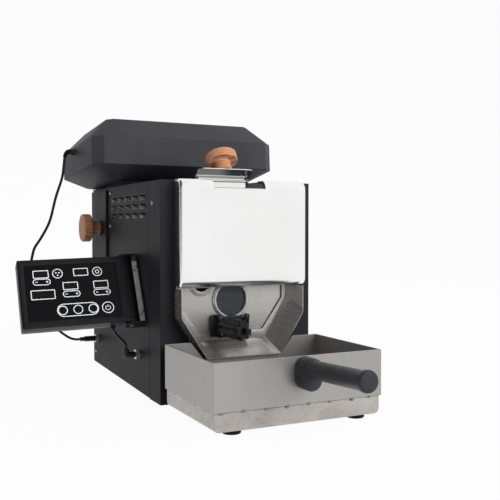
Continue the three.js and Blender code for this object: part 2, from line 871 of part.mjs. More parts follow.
// Feed hopper with two ears for the flap's hinge pin
function hopperThroat() {
  const left = mouthLeft - thinSheet;
  const right = mouthRight + thinSheet;
  const rise = thinSheet * Math.hypot(1, hopperSlope);
  const outer = prism('x', [[hopperFrontY, hopperFloorZ(hopperFrontY)], [hopperFrontY, hopperLipZ],
    [hopperShoulderY, hopperShoulderZ], [-gap, hopperShoulderZ], [-gap, hopperTopZ],
    [hopperRearY, hopperTopZ], [hopperRearY, hopperBottomZ],
    [feedStart - thinSheet, hopperBottomZ], [feedStart - thinSheet, hopperFloorRearZ]],
  left, right);
  const top = hopperTopZ + cutOver;
  const front = hopperFrontY + thinSheet;
  const inner = prism('x', [[front, hopperFloorZ(front) + rise], [front, top], [mouthRearY, top],
    [mouthRearY, hopperBottomZ + thinSheet], [feedStart, hopperBottomZ + thinSheet],
    [feedStart, hopperFloorZ(feedStart) + rise]], mouthLeft, mouthRight);
  const drop = block(feedLeft, feedRight, feedStart, mouthRearY, hopperBottomZ - cutOver,
    hopperBottomZ + 2 * cutOver);
  let throat = outer.subtract(inner).subtract(drop);
  for (const x of [left, mouthRight]) {
    const foot = block(x, x + thinSheet, flapPivotY - flapEarRadius, flapPivotY + flapEarRadius,
      flapPivotZ - flapEarFoot, flapPivotZ);
    throat = throat.add(foot).add(rod('x', flapEarRadius, x, x + thinSheet, flapPivotY,
      flapPivotZ, smallSides));
  }
  const bore = rod('x', flapPinRadius + gap, left - cutOver, right + cutOver, flapPivotY,
    flapPivotZ, smallSides);
  return throat.subtract(bore);
}

// Feed flap: a tilted handle plate and a blade that meet over the hinge pin
const foldY = flapPivotY + flapFoldBack;
const foldZ = flapPivotZ + flapFoldUp;
const flapX = (mouthLeft + mouthRight) / 2;

function flapMatrix(rise) {
  return new THREE.Matrix4().makeTranslation(flapX, foldY, foldZ)
    .multiply(new THREE.Matrix4().makeRotationX(-degrees(flapTilt)))
    .multiply(new THREE.Matrix4().makeTranslation(0, 0, rise));
}

function hopperLid() {
  const wide = flapWidth / 2;
  const outline = [[-wide, 0], [-wide, flapCorner - flapLength], [flapCorner - wide, -flapLength],
    [wide - flapCorner, -flapLength], [wide, flapCorner - flapLength], [wide, 0]];
  const plate = moved(prism('z', outline, 0, flapSheet), flapMatrix(-flapSheet / 2));
  const lean = degrees(bladeLean);
  const along = [-Math.sin(lean), -Math.cos(lean)];
  const across = [Math.cos(lean) * flapSheet / 2, -Math.sin(lean) * flapSheet / 2];
  const end = [foldY + along[0] * bladeLength, foldZ + along[1] * bladeLength];
  const blade = prism('x', [[foldY - across[0], foldZ - across[1]],
    [foldY + across[0], foldZ + across[1]], [end[0] + across[0], end[1] + across[1]],
    [end[0] - across[0], end[1] - across[1]]], mouthLeft + bladeClear, mouthRight - bladeClear);
  const pin = rod('x', flapPinRadius, mouthLeft - thinSheet, mouthRight + thinSheet,
    flapPivotY, flapPivotZ, smallSides);
  return joined([plate, blade, pin]);
}

// Turned knob with a stem, standing on Z = 0
function turnedKnob() {
  const top = knobStemLength + knobThickness;
  const profile = [[0, 0], [knobStemRadius, 0], [knobStemRadius, knobStemLength]];
  for (const [height, side] of [[knobStemLength + knobRound, -1], [top - knobRound, 1]]) {
    for (let step = 0; step <= knobRoundSteps; step += 1) {
      const turn = step / knobRoundSteps * Math.PI / 2;
      const out = side < 0 ? Math.sin(turn) : Math.cos(turn);
      const up = side < 0 ? Math.cos(turn) : Math.sin(turn);
      profile.push([knobRadius - knobRound + knobRound * out, height + side * knobRound * up]);
    }
  }
  profile.push([0, top]);
  return turned(profile);
}

function hopperKnob() {
  const seat = new THREE.Matrix4().makeTranslation(0, -flapKnobInset, 0);
  return moved(turnedKnob(), flapMatrix(flapSheet / 2 + gap).multiply(seat));
}

model.add(
  piece('discharge_chute', dischargeChute(), stainless()),
  piece('hood', hood(), stainless()),
  piece('hopper_throat', hopperThroat(), innerSteel()),
  piece('hopper_lid', hopperLid(), stainless()),
  piece('hopper_knob', hopperKnob(), beech()),
);

// Drum: a shell with vanes, an open front spider and a rear disc with holes
const drumEnd = bulkheadY - drumBackGap;
const drumHub = shaftRadius + gap;

function drum() {
  const shell = tubeRing('y', drumRadius, drumRadius - drumWall, drumStart, drumEnd, drumX, drumZ);
  const disc = rod('y', drumRadius - drumWall / 2, drumEnd - drumEndThickness, drumEnd,
    drumX, drumZ);
  const hub = rod('y', hubRadius, drumStart, drumStart + spokeThickness, drumX, drumZ, smallSides);
  const parts = [shell, disc, hub];
  const cuts = [rod('y', drumHub, drumStart - cutOver, drumEnd + cutOver, drumX, drumZ,
    smallSides)];
  const middle = (hubRadius + drumRadius) / 2;
  for (let i = 0; i < vaneCount; i += 1) {
    const turn = 2 * Math.PI * i / vaneCount;
    const about = new THREE.Matrix4().makeTranslation(drumX, 0, drumZ)
      .multiply(new THREE.Matrix4().makeRotationY(turn));
    const vane = block(-vaneThickness / 2, vaneThickness / 2, drumStart + drumRunGap, drumEnd,
      drumRadius - drumWall / 2 - vaneHeight, drumRadius - drumWall / 2);
    const spoke = block(-spokeWidth / 2, spokeWidth / 2, drumStart, drumStart + spokeThickness,
      hubRadius - drumWall, drumRadius - drumWall / 2);
    parts.push(moved(vane, about), moved(spoke, about));
    cuts.push(moved(rod('y', drumEndHoleRadius, drumEnd - 2 * drumEndThickness,
      drumEnd + cutOver, 0, -middle, smallSides), about));
  }
  return joined(parts).subtract(joined(cuts));
}

// Toothed wheel with tapered teeth and a bore, standing along Y from a face
function gearWheel(teeth, bore, y, z, phase) {
  const pitch = gearModule * teeth / 2;
  const outer = pitch + gearModule * toothAddendumShare;
  const root = pitch - gearModule * toothDedendumShare;
  const outline = [];
  for (let tooth = 0; tooth < teeth; tooth += 1) {
    const shares = [[root, -toothRootShare], [outer, -toothTipShare], [outer, toothTipShare],
      [root, toothRootShare]];
    for (const [radius, share] of shares) {
      const turn = 2 * Math.PI * (tooth + phase + share * toothWidthShare) / teeth;
      outline.push([drumX + radius * Math.cos(turn), z + radius * Math.sin(turn)]);
    }
  }
  const wheel = prism('y', outline, y, y + gearWidth);
  return bore ? wheel.subtract(rod('y', bore, y - cutOver, y + gearWidth + cutOver, drumX, z,
    smallSides)) : wheel;
}

// Bulkhead, drive and heater
const collarLeft = drumX - collarOffsetX;
const collarBottomZ = drumZ + collarRise;
const bulkheadRear = bulkheadY + sheet;
const gearY = bulkheadRear + gearStandOff;
const gearCentres = gearModule * (gearTeeth + pinionTeeth) / 2 + gearBacklash;
const motorZ = drumZ - gearCentres;
const motorY = gearY + gearWidth + gearStandOff;
const shaftFront = plateFront + gap;
const shaftRear = gearY + gearWidth + gap;
const heaterDrop = Math.sqrt(heaterOrbit ** 2 - heaterHalfWidth ** 2);
const heaterRear = bulkheadRear + heaterTail;

function bulkhead() {
  const inner = half - sheet - gap;
  let plate = block(-inner, inner, bulkheadY, bulkheadRear, baseHeight + sheet + gap,
    bodyHeight - sheet - gap);
  plate = plate.subtract(rod('y', shaftRadius + gap, bulkheadY - cutOver, bulkheadRear + cutOver,
    drumX, drumZ, smallSides));
  for (const side of [-1, 1]) {
    plate = plate.subtract(rod('y', heaterRadius + gap, bulkheadY - cutOver,
      bulkheadRear + cutOver, drumX + side * heaterHalfWidth, drumZ - heaterDrop, smallSides));
  }
  return plate.subtract(block(collarLeft, collarLeft + collarWidth, bulkheadY - cutOver,
    bulkheadRear + cutOver, collarBottomZ, collarBottomZ + collarHeight));
}

// Bent tube of round section through chosen points
function tubeAlong(points, radius, sides, steps) {
  const curve = new THREE.CatmullRomCurve3(points.map(([x, y, z]) => new THREE.Vector3(x, y, z)),
    false, 'centripetal');
  const circle = new THREE.Shape(Array.from({ length: sides }, (_, i) => new THREE.Vector2(
    radius * Math.cos(2 * Math.PI * i / sides), radius * Math.sin(2 * Math.PI * i / sides))));
  return solid(new THREE.ExtrudeGeometry(circle, { steps, extrudePath: curve,
    bevelEnabled: false }));
}

function heaterElement() {
  const z = drumZ - heaterDrop;
  const legs = [];
  for (const share of heaterLegShares) {
    legs.push([drumX - heaterHalfWidth, heaterRear + (heaterFrontY + heaterHalfWidth / 2
      - heaterRear) * share, z]);
  }
  const bow = [];
  for (const turn of heaterBowTurns) {
    const x = heaterHalfWidth * Math.cos(degrees(turn));
    bow.push([drumX - x, heaterFrontY + heaterHalfWidth / 2 * (1 - Math.sin(degrees(turn))),
      drumZ - Math.sqrt(heaterOrbit ** 2 - x ** 2)]);
  }
  const back = legs.map(([x, y]) => [2 * drumX - x, y, z]).reverse();
  return tubeAlong([...legs, ...bow, ...back], heaterRadius, heaterSides, heaterSteps);
}

// Heat shield: an open shell under and beside the drum with two mounting flanges
function heatShield() {
  const outline = [];
  const spanStart = degrees(270 - shieldSpan / 2);
  for (const [radius, direction] of [[shieldRadius, 1], [shieldRadius - thinSheet, -1]]) {
    for (let step = 0; step <= roundSides; step += 1) {
      const share = direction > 0 ? step / roundSides : 1 - step / roundSides;
      const turn = spanStart + degrees(shieldSpan) * share;
      outline.push([drumX + radius * Math.cos(turn), drumZ + radius * Math.sin(turn)]);
    }
  }
  const start = shieldStart;
  const end = bulkheadY - gap;
  let shield = prism('y', outline, start, end);
  const turn = spanStart;
  const x = shieldRadius * Math.cos(turn);
  const z = drumZ + shieldRadius * Math.sin(turn) - thinSheet;
  for (const side of [-1, 1]) {
    const inner = drumX - side * (x + thinSheet);
    const outer = side < 0 ? -half + sheet + gap : drumX - side * (x - shieldFlange);
    shield = shield.add(block(Math.min(inner, outer), Math.max(inner, outer), start, end, z,
      z + thinSheet));
  }
  return shield;
}

function drumMotor() {
  const body = rod('y', motorRadius, motorY + motorPlateThickness - cutOver / 2,
    motorY + motorPlateThickness + motorLength, drumX, motorZ);
  const bottom = motorZ - motorPlateDrop;
  const plate = block(drumX - motorPlate / 2, drumX + motorPlate / 2, motorY,
    motorY + motorPlateThickness, bottom, bottom + motorPlateHeight);
  let motor = body.add(plate);
  for (const side of [-1, 1]) {
    for (const z of [motorZ + postUp, motorZ - postDown]) {
      motor = motor.add(rod('y', postRadius, bulkheadRear + gap, motorY + motorPlateThickness / 2,
        drumX + side * postOffsetX, z, smallSides));
    }
  }
  return motor.subtract(rod('y', motorShaftRadius + gap, motorY - cutOver,
    motorY + motorPlateThickness + motorPlateThickness, drumX, motorZ, smallSides));
}

function motorPinion() {
  const wheel = gearWheel(pinionTeeth, 0, gearY, motorZ, pinionPhaseShare);
  return wheel.add(rod('y', motorShaftRadius, gearY, motorY + motorPlateThickness, drumX,
    motorZ, smallSides));
}

model.add(
  piece('drum', drum(), innerSteel()),
  piece('drum_shaft', rod('y', shaftRadius, shaftFront, shaftRear, drumX, drumZ, smallSides),
    innerSteel()),
  piece('drum_rear_plate', bulkhead(), innerSteel()),
  piece('heater_element', heaterElement(), darkSteel()),
  piece('heat_shield', heatShield(), innerSteel()),
  piece('drum_motor', drumMotor(), darkSteel()),
  piece('motor_pinion', motorPinion(), brass()),
  piece('drum_gear', gearWheel(gearTeeth, shaftRadius + gap, gearY, drumZ, 0), brass()),
);

// Chaff drawer, its knob and the chamber that it slides in
const collarFront = bulkheadRear + gap;
const chamberBottomZ = drawerBoxBottomZ - chamberClear - chamberWall;
const chamberTopZ = bodyHeight - sheet - gap;

function chaffDrawer() {
  const x0 = -half - gap - drawerFrontThickness;
  const front = block(x0, -half - gap, drawerFrontY0, drawerFrontY0 + drawerFrontLength,
    drawerFrontBottomZ, drawerFrontBottomZ + drawerFrontHeight);
  const right = -half - gap + drawerBoxDepth;
  const y1 = drawerBoxY0 + drawerBoxLength;
  const top = drawerBoxBottomZ + drawerBoxHeight;
  const box = block(-half - gap - drawerFrontThickness / 2, right, drawerBoxY0, y1,
    drawerBoxBottomZ, top);
  const inner = block(-half - gap, right - drawerWall, drawerBoxY0 + drawerWall, y1 - drawerWall,
    drawerBoxBottomZ + drawerWall, top + cutOver);
  const window = block(collarLeft - drawerWindowClear,
    collarLeft + collarWidth + drawerWindowClear, drawerBoxY0 - cutOver,
    drawerBoxY0 + drawerWall + cutOver, collarBottomZ, collarBottomZ + collarHeight);
  return front.add(box.subtract(inner).subtract(window));
}

function drawerKnob() {
  const turn = new THREE.Matrix4().makeRotationY(-Math.PI / 2);
  const seat = new THREE.Matrix4().makeTranslation(-half - 2 * gap - drawerFrontThickness,
    drawerKnobY, drawerKnobZ);
  return moved(turnedKnob(), seat.multiply(turn));
}

function chaffChamber() {
  const outer = block(chamberLeft, chamberRight, chamberY0, chamberY1, chamberBottomZ,
    chamberTopZ);
  const inner = block(chamberLeft - cutOver, chamberRight - chamberWall,
    chamberY0 + chamberWall, chamberY1 - chamberWall, chamberBottomZ + chamberWall,
    chamberTopZ - chamberWall);
  const flue = block(flueLeft, flueLeft + flueWidth, flueFront, flueFront + flueLength,
    chamberTopZ - chamberWall - cutOver, chamberTopZ + cutOver);
  const collar = block(collarLeft - chamberWall, collarLeft + collarWidth + chamberWall,
    collarFront, chamberY0 + chamberWall, collarBottomZ - chamberWall,
    collarBottomZ + collarHeight + chamberWall);
  const way = block(collarLeft, collarLeft + collarWidth, collarFront - cutOver,
    chamberY0 + chamberWall + cutOver, collarBottomZ, collarBottomZ + collarHeight);
  return outer.add(collar).subtract(inner).subtract(flue).subtract(way);
}

model.add(
  piece('chaff_drawer', chaffDrawer(), blackSteel()),
  piece('chaff_drawer_knob', drawerKnob(), beech()),
  piece('chaff_chamber', chaffChamber(), innerSteel()),
);

// Exhaust fan box, drawn level about its own centre and tilted up at the front
const lid = new THREE.Group();
lid.position.set(boxCentreX, boxCentreY, boxCentreZ);
lid.rotation.x = -degrees(boxTilt);
const wallTop = boxWallHeight / 2;
const wallBottom = -boxWallHeight / 2;
const roofZ = wallTop + boxRoofHeight;
const rimZ = wallBottom - boxSkirtHeight;
const rimHalfWidth = boxHalfWidth - boxSkirtInset;
const rimHalfDepth = boxHalfDepth - boxSkirtInset;

// Eight-cornered outline of the box at one height, drawn in by a margin
function boxRing(margin, corner, z) {
  const x = boxHalfWidth - margin;
  const y = boxHalfDepth - margin;
  return [[x, y - corner], [x - corner, y], [corner - x, y], [-x, y - corner],
    [-x, corner - y], [corner - x, -y], [x - corner, -y], [x, corner - y]]
    .map(([a, b]) => [a, b, z]);
}

function boxCover() {
  const base = wallBottom + gap / 2;
  const outer = hull([...boxRing(0, boxCorner, base), ...boxRing(0, boxCorner, wallTop),
    ...boxRing(boxRoofInset, boxEdgeCorner, roofZ)]);
  const inner = hull([...boxRing(boxWall, boxCorner, base - cutOver),
    ...boxRing(boxWall, boxCorner, wallTop),
    ...boxRing(boxRoofInset + boxWall, boxEdgeCorner, roofZ - boxWall)]);
  const slots = [];
  for (let slot = 0; slot < exhaustSlots; slot += 1) {
    const x = (slot - (exhaustSlots - 1) / 2) * exhaustSlotPitch;
    slots.push(block(x - exhaustSlotWidth / 2, x + exhaustSlotWidth / 2,
      boxHalfDepth - boxWall - cutOver, boxHalfDepth + cutOver, -exhaustSlotHeight / 2,
      exhaustSlotHeight / 2));
  }
  const gland = rod('x', glandRadius, -boxHalfWidth - glandLength, -boxHalfWidth + boxWall / 2,
    glandBack, glandUp, smallSides);
  return outer.subtract(inner).subtract(joined(slots)).add(gland);
}

function boxBase() {
  const top = wallBottom - gap / 2;
  const outer = hull([...boxRing(boxSkirtInset, boxEdgeCorner, rimZ),
    ...boxRing(0, boxCorner, top)]);
  const inner = hull([...boxRing(boxSkirtInset + boxWall, boxEdgeCorner, rimZ + boxWall),
    ...boxRing(boxWall, boxCorner, top + cutOver)]);
  const left = flueLeft - boxCentreX;
  const front = flueFront - boxCentreY;
  const flue = block(left, left + flueWidth, front, front + flueLength, rimZ - cutOver,
    rimZ + boxWall + cutOver);
  const barTop = top - fanBarDrop;
  const bar = block(-boxHalfWidth + boxWall, boxHalfWidth - boxWall, -fanBarWidth / 2,
    fanBarWidth / 2, barTop - fanBarThickness, barTop);
  const seat = rod('z', exhaustMotorRadius, barTop - fanBarThickness, barTop, 0, 0);
  return outer.subtract(inner).subtract(flue).add(bar.add(seat).intersect(outer));
}

const exhaustMotorBottom = wallBottom - gap / 2 - fanBarDrop + gap;
const exhaustMotorTop = exhaustMotorBottom + exhaustMotorHeight;
const impellerBottom = exhaustMotorTop + impellerLift;
const impellerTop = impellerBottom + impellerDisc + impellerBladeHeight;

function exhaustMotor() {
  return rod('z', exhaustMotorRadius, exhaustMotorBottom, exhaustMotorTop, 0, 0)
    .add(rod('z', exhaustShaftRadius, exhaustMotorTop - impellerLift, impellerTop, 0, 0,
      smallSides));
}

function exhaustImpeller() {
  const disc = rod('z', impellerRadius, impellerBottom, impellerBottom + impellerDisc, 0, 0);
  const hub = rod('z', impellerHubRadius, impellerBottom, impellerTop, 0, 0, smallSides);
  let wheel = disc.add(hub);
  for (let i = 0; i < impellerBlades; i += 1) {
    const blade = block(impellerRadius - impellerBladeLength, impellerRadius - impellerBladeWidth,
      -impellerBladeWidth / 2, impellerBladeWidth / 2, impellerBottom + impellerDisc / 2,
      impellerTop);
    const about = new THREE.Matrix4().makeRotationZ(2 * Math.PI * i / impellerBlades);
    wheel = wheel.add(moved(blade, about));
  }
  return wheel.subtract(rod('z', exhaustShaftRadius + gap, impellerBottom - cutOver,
    impellerTop + cutOver, 0, 0, smallSides));
}

// Hinge along the rear edge: odd knuckles on the body, even ones on the fan box
const hingeY = bodyDepth + hingeBehind;
const hingeZ = bodyHeight + hingeAbove;
const hingeLength = hingeKnuckle * hingeKnuckles;

function knuckles(first, radius, from) {
  const parts = [];
  for (let i = first; i < hingeKnuckles; i += 2) {
    const x0 = boxCentreX - hingeLength / 2 + i * hingeKnuckle + gap / 2;
    const x1 = x0 + hingeKnuckle - gap;
    parts.push(rod('x', radius, x0, x1, hingeY, hingeZ, smallSides), from(x0, x1));
  }
  return joined(parts);
}

function hingeBody() {
  const front = bodyDepth + gap;
  const rear = front + hingeLeafThickness;
  const top = hingeZ - hingeRadius - hingeStep;
  const leaf = block(boxCentreX - hingeLength / 2, boxCentreX + hingeLength / 2, front, rear,
    hingeZ - hingeLeaf, top);
  const webs = knuckles(0, hingeRadius, (x0, x1) => block(x0, x1, front, rear, top - hingeStep,
    hingeZ));
  const pin = rod('x', hingePinRadius, boxCentreX - hingeLength / 2 + gap,
    boxCentreX + hingeLength / 2 - gap, hingeY, hingeZ, smallSides);
  return joined([leaf, webs, pin]);
}

// Unit directions of the skirt's rear slope, seen from the side in the tilted place
const tilt = degrees(boxTilt);
const slopeTurn = Math.atan2(boxSkirtHeight, boxSkirtInset) - tilt;
const slopeAlong = [Math.cos(slopeTurn), Math.sin(slopeTurn)];
const slopeAcross = [Math.sin(slopeTurn), -Math.cos(slopeTurn)];
const rimRearY = boxCentreY + rimHalfDepth * Math.cos(tilt) + rimZ * Math.sin(tilt);
const rimRearZ = boxCentreZ - rimHalfDepth * Math.sin(tilt) + rimZ * Math.cos(tilt);
const axisAlong = (hingeY - rimRearY) * slopeAlong[0] + (hingeZ - rimRearZ) * slopeAlong[1];
const axisAcross = (hingeY - rimRearY) * slopeAcross[0] + (hingeZ - rimRearZ) * slopeAcross[1];

function slopePoint(along, across) {
  return [rimRearY + slopeAlong[0] * along + slopeAcross[0] * across,
    rimRearZ + slopeAlong[1] * along + slopeAcross[1] * across];
}

function hingeLid() {
  const inner = gap + hingeLeafThickness;
  const leaf = prism('x', [slopePoint(axisAlong, gap), slopePoint(axisAlong + hingeLeaf, gap),
    slopePoint(axisAlong + hingeLeaf, inner), slopePoint(axisAlong, inner)],
  boxCentreX - hingeLength / 2, boxCentreX + hingeLength / 2);
  const webs = knuckles(1, hingeRadius, (x0, x1) => prism('x', [
    slopePoint(axisAlong, gap + hingeLeafThickness / 2),
    slopePoint(axisAlong + hingeRadius, gap + hingeLeafThickness / 2),
    slopePoint(axisAlong + hingeRadius, axisAcross), slopePoint(axisAlong, axisAcross)], x0, x1));
  const bore = rod('x', hingePinRadius + gap, boxCentreX - hingeLength, boxCentreX + hingeLength,
    hingeY, hingeZ, smallSides);
  return leaf.add(webs).subtract(bore);
}

// Seal: a wedge-shaped ring between the top panel and the tilted floor of the fan box
function flueSeal() {
  const left = boxCentreX - rimHalfWidth + sealWidth;
  const x0 = Math.max(left, -half + sealLeftInset);
  const x1 = Math.min(boxCentreX + rimHalfWidth, half) - sealRightInset;
  const y0 = rimRearY - 2 * rimHalfDepth * Math.cos(tilt) + sealFrontInset;
  const y1 = rimRearY - sealRearInset;
  const under = (y) => rimRearZ + (rimRearY - y) * Math.tan(tilt) - gap;
  const wedge = (a0, a1, b0, b1, over) => hull([a0, a1].flatMap((x) => [b0, b1].flatMap((y) => [
    [x, y, bodyHeight + gap - over], [x, y, under(y) + over]])));
  return wedge(x0, x1, y0, y1, 0).subtract(wedge(x0 + sealWidth, x1 - sealWidth,
    y0 + sealWidth, y1 - sealWidth, cutOver));
}

lid.add(
  piece('fan_box_base', boxBase(), blackPlastic()),
  piece('fan_box_cover', boxCover(), blackPlastic()),
  piece('exhaust_motor', exhaustMotor(), darkSteel()),
  piece('exhaust_impeller', exhaustImpeller(), darkSteel()),
);
model.add(
  lid,
  piece('box_hinge_body', hingeBody(), darkSteel()),
  piece('box_hinge_lid', hingeLid(), darkSteel()),
  piece('flue_gasket', flueSeal(), rubber()),
);

// Cooling tray: open walls with a ledge, the screen that lies on it and the pan below
const trayLeft = trayX - trayWidth / 2;
const trayRight = trayX + trayWidth / 2;
const ledgeTop = trayBottomZ + ledgeThickness;

function coolingTray() {
  const outer = block(trayLeft, trayRight, trayFrontY, trayRearY, trayBottomZ, trayTopZ);
  const inner = block(trayLeft + traySheet, trayRight - traySheet, trayFrontY + traySheet,
    trayRearY - traySheet, ledgeTop, trayTopZ + cutOver);
  const well = block(trayLeft + ledgeWidth, trayRight - ledgeWidth, trayFrontY + ledgeWidth,
    trayRearY - ledgeWidth, trayBottomZ - cutOver, ledgeTop + cutOver);
  const [, , floorLeft, floorRight, bendRight] = chuteOutline(1);
  const bendLeft = chuteOutline(1)[1];
  const crossing = (from, to) => from[0] + (to[0] - from[0]) * (trayTopZ - from[1])
    / (to[1] - from[1]);
  const notchTop = trayTopZ + cutOver;
  const notch = prism('y', [
    [floorLeft[0] - trayNotchSide, floorLeft[1] - trayNotchDrop],
    [floorRight[0] + trayNotchSide, floorRight[1] - trayNotchDrop],
    [crossing(floorRight, bendRight) + trayNotchFlare, trayTopZ],
    [crossing(floorRight, bendRight) + trayNotchFlare, notchTop],
    [crossing(floorLeft, bendLeft) - trayNotchFlare, notchTop],
    [crossing(floorLeft, bendLeft) - trayNotchFlare, trayTopZ],
  ], trayRearY - traySheet - cutOver, trayRearY + cutOver);
  return outer.subtract(inner).subtract(well).subtract(notch);
}

function trayScreen() {
  const x0 = trayLeft + traySheet + gap;
  const x1 = trayRight - traySheet - gap;
  const y0 = trayFrontY + traySheet + gap;
  const y1 = trayRearY - traySheet - gap;
  const holes = [];
  const pitchX = (x1 - x0 - 2 * screenMargin) / (screenColumns - 1);
  const pitchY = (y1 - y0 - 2 * screenMargin) / (screenRows - 1);
  for (let column = 0; column < screenColumns; column += 1) {
    for (let row = 0; row < screenRows; row += 1) {
      const x = x0 + screenMargin + column * pitchX;
      const y = y0 + screenMargin + row * pitchY;
      holes.push(Array.from({ length: screenHoleSides }, (_, i) => {
        const turn = 2 * Math.PI * i / screenHoleSides;
        return [x + screenHoleRadius * Math.cos(turn), y + screenHoleRadius * Math.sin(turn)];
      }));
    }
  }
  return prism('z', [[x0, y0], [x1, y0], [x1, y1], [x0, y1]], ledgeTop + gap,
    ledgeTop + gap + screenThickness, holes);
}

function coolingPan() {
  const top = trayBottomZ - gap;
  const profile = (x0, x1, bottom, bend, over) => {
    const left = [];
    const right = [];
    for (let step = 0; step <= panBendSteps; step += 1) {
      const turn = step / panBendSteps * Math.PI / 2;
      const side = bend * (1 - Math.sin(turn));
      const up = bend * (1 - Math.cos(turn));
      left.push([x0 + side, bottom + up]);
      right.push([x1 - side, bottom + up]);
    }
    return [...left, [x0, top + over], [x1, top + over], ...right.reverse()];
  };
  const x0 = trayLeft + panInset;
  const x1 = trayRight - panInset;
  const y0 = trayFrontY + panInset;
  const outer = prism('y', profile(x0, x1, panBottomZ, panBend, 0), y0, panRearY);
  const inner = prism('y', profile(x0 + traySheet, x1 - traySheet, panBottomZ + traySheet,
    panBend - traySheet, cutOver), y0 + traySheet, panRearY - traySheet);
  const port = block(trayX - portWidth / 2, trayX + portWidth / 2, panRearY - traySheet - cutOver,
    panRearY + cutOver, portBottomZ, portBottomZ + portHeight);
  return outer.subtract(inner).subtract(port);
}

model.add(
  piece('cooling_tray', coolingTray(), stainless()),
  piece('tray_screen', trayScreen(), innerSteel()),
  piece('cooling_pan', coolingPan(), stainless()),
);
for (const [name, sideX, y] of [
  ['front_left', -1, trayFrontY + trayFootEndInset],
  ['front_right', 1, trayFrontY + trayFootEndInset],
  ['rear_left', -1, trayRearY - trayFootEndInset],
  ['rear_right', 1, trayRearY - trayFootEndInset],
]) {
  const foot = rod('z', trayFootRadius, 0, panBottomZ - gap,
    trayX + sideX * (trayWidth / 2 - trayFootSideInset), y, smallSides);
  model.add(piece(`pan_foot_${name}`, foot, rubber()));
}

// Handle: a block with round ends and a grip that rises from it
function handleBlock() {
  const radius = handleBlockWidth / 2;
  const straight = handleBlockHeight / 2 - radius;
  const outline = [];
  for (const side of [1, -1]) {
    for (let step = 0; step <= smallSides / 2; step += 1) {
      const turn = Math.PI * (step / (smallSides / 2) + (side < 0 ? 1 : 0));
      outline.push([handleX + radius * Math.cos(turn),
        handleBlockZ + side * straight + radius * Math.sin(turn)]);
    }
  }
  const rear = trayFrontY - gap;
  return prism('y', outline, rear - handleBlockDepth, rear);
}

function handleGrip() {
  const rise = degrees(handleRise);
  const total = handleLength + handleCapLength;
  const profile = [[0, 0], [handleCollarRadius, 0], [handleCollarRadius, handleCollarDepth],
    [handleRadius, handleCollarDepth], [handleRadius, handleLength],
    [handleCapRadius, handleLength], [handleCapRadius, total - handleCapChamfer],
    [handleCapRadius - handleCapChamfer, total], [0, total]];
  const start = trayFrontY - handleBlockDepth - 2 * gap - handleCollarRadius * Math.sin(rise);
  return moved(turned(profile), new THREE.Matrix4()
    .makeTranslation(handleX, start, handleZ)
    .multiply(new THREE.Matrix4().makeRotationX(Math.PI / 2 - rise)));
}

model.add(
  piece('handle_block', handleBlock(), blackPlastic()),
  piece('handle_grip', handleGrip(), blackPlastic()),
);

// Control panel: a leaning swivel axis, its bracket and the housing that turns on it
const panelPivotX = -half - panelPivotOut;
const bracket = new THREE.Group();
bracket.position.set(panelPivotX, panelPivotY, panelPivotZ);
bracket.rotation.x = -degrees(panelLean);
const panel = new THREE.Group();
panel.rotation.z = degrees(panelTurn);
bracket.add(panel);

function panelBracket() {
  const outer = panelPivotOut - gap;
  const inner = outer - bracketSheet;
  const web = block(inner, outer, -bracketTabRadius, bracketTabRadius, -gap - bracketTab,
    panelHeight + gap + bracketTab);
  const parts = [web];
  for (const [z0, pinZ] of [[-gap - bracketTab, -gap - bracketTab],
    [panelHeight + gap, panelHeight + gap + bracketTab - bracketPinReach]]) {
    parts.push(block(0, outer, -bracketTabRadius, bracketTabRadius, z0, z0 + bracketTab));
    parts.push(rod('z', bracketTabRadius, z0, z0 + bracketTab, 0, 0));
    parts.push(rod('z', bracketPinRadius, pinZ, pinZ + bracketPinReach, 0, 0, smallSides));
  }
  return joined(parts);
}

function panelHousing() {
  const thick = panelThickness / 2;
  const body = block(-panelLength, 0, -thick, thick, 0, panelHeight);
  const barrel = rod('z', thick, 0, panelHeight, 0, 0);
  const x1 = -panelGlassStart;
  const z0 = (panelHeight - panelGlassHeight) / 2;
  const z1 = z0 + panelGlassHeight;
  const seat = block(x1 - panelGlassLength - gap, x1 + gap, -thick - cutOver,
    panelGlassThickness + gap - thick, z0 - gap, z1 + gap);
  const hollow = block(x1 - panelGlassLength + panelWall, x1 - panelWall, -thick - cutOver,
    panelGlassDepth - thick, z0 + panelWall, z1 - panelWall);
  const bore = rod('z', bracketPinRadius + gap, -cutOver, panelHeight + cutOver, 0, 0,
    smallSides);
  return body.add(barrel).subtract(seat).subtract(hollow).subtract(bore);
}

function panelGlass() {
  const front = -panelThickness / 2;
  const z0 = (panelHeight - panelGlassHeight) / 2;
  return block(-panelGlassStart - panelGlassLength, -panelGlassStart, front,
    front + panelGlassThickness, z0, z0 + panelGlassHeight);
}

bracket.add(piece('panel_bracket', panelBracket(), blackSteel()));
panel.add(
  piece('panel_housing', panelHousing(), blackPlastic()),
  piece('panel_glass', panelGlass(), darkGlass()),
);
model.add(bracket);

// Sockets in the left side, with their plugs
function sideSocket(y, z) {
  const nut = new THREE.Matrix4().makeTranslation(0, y, z);
  const hexagon = Array.from({ length: socketNutSides }, (_, i) => {
    const turn = 2 * Math.PI * i / socketNutSides;
    return [socketNutRadius * Math.cos(turn), socketNutRadius * Math.sin(turn)];
  });
  return moved(prism('x', hexagon, -half - gap - socketNutDepth, -half - gap), nut)
    .add(rod('x', socketBarrelRadius, -half - gap - sheet, socketDepth - half, y, z, smallSides));
}
const plugFace = -half - socketNutDepth - 2 * gap;
const fanPlugEnd = plugFace - fanPlugLength;

function fanPlug() {
  return rod('x', fanPlugRadius, fanPlugEnd + fanBootLength, plugFace, fanSocketY, fanSocketZ,
    smallSides).add(rod('x', fanBootRadius, fanPlugEnd, plugFace - fanBootLength, fanSocketY,
    fanSocketZ, smallSides));
}

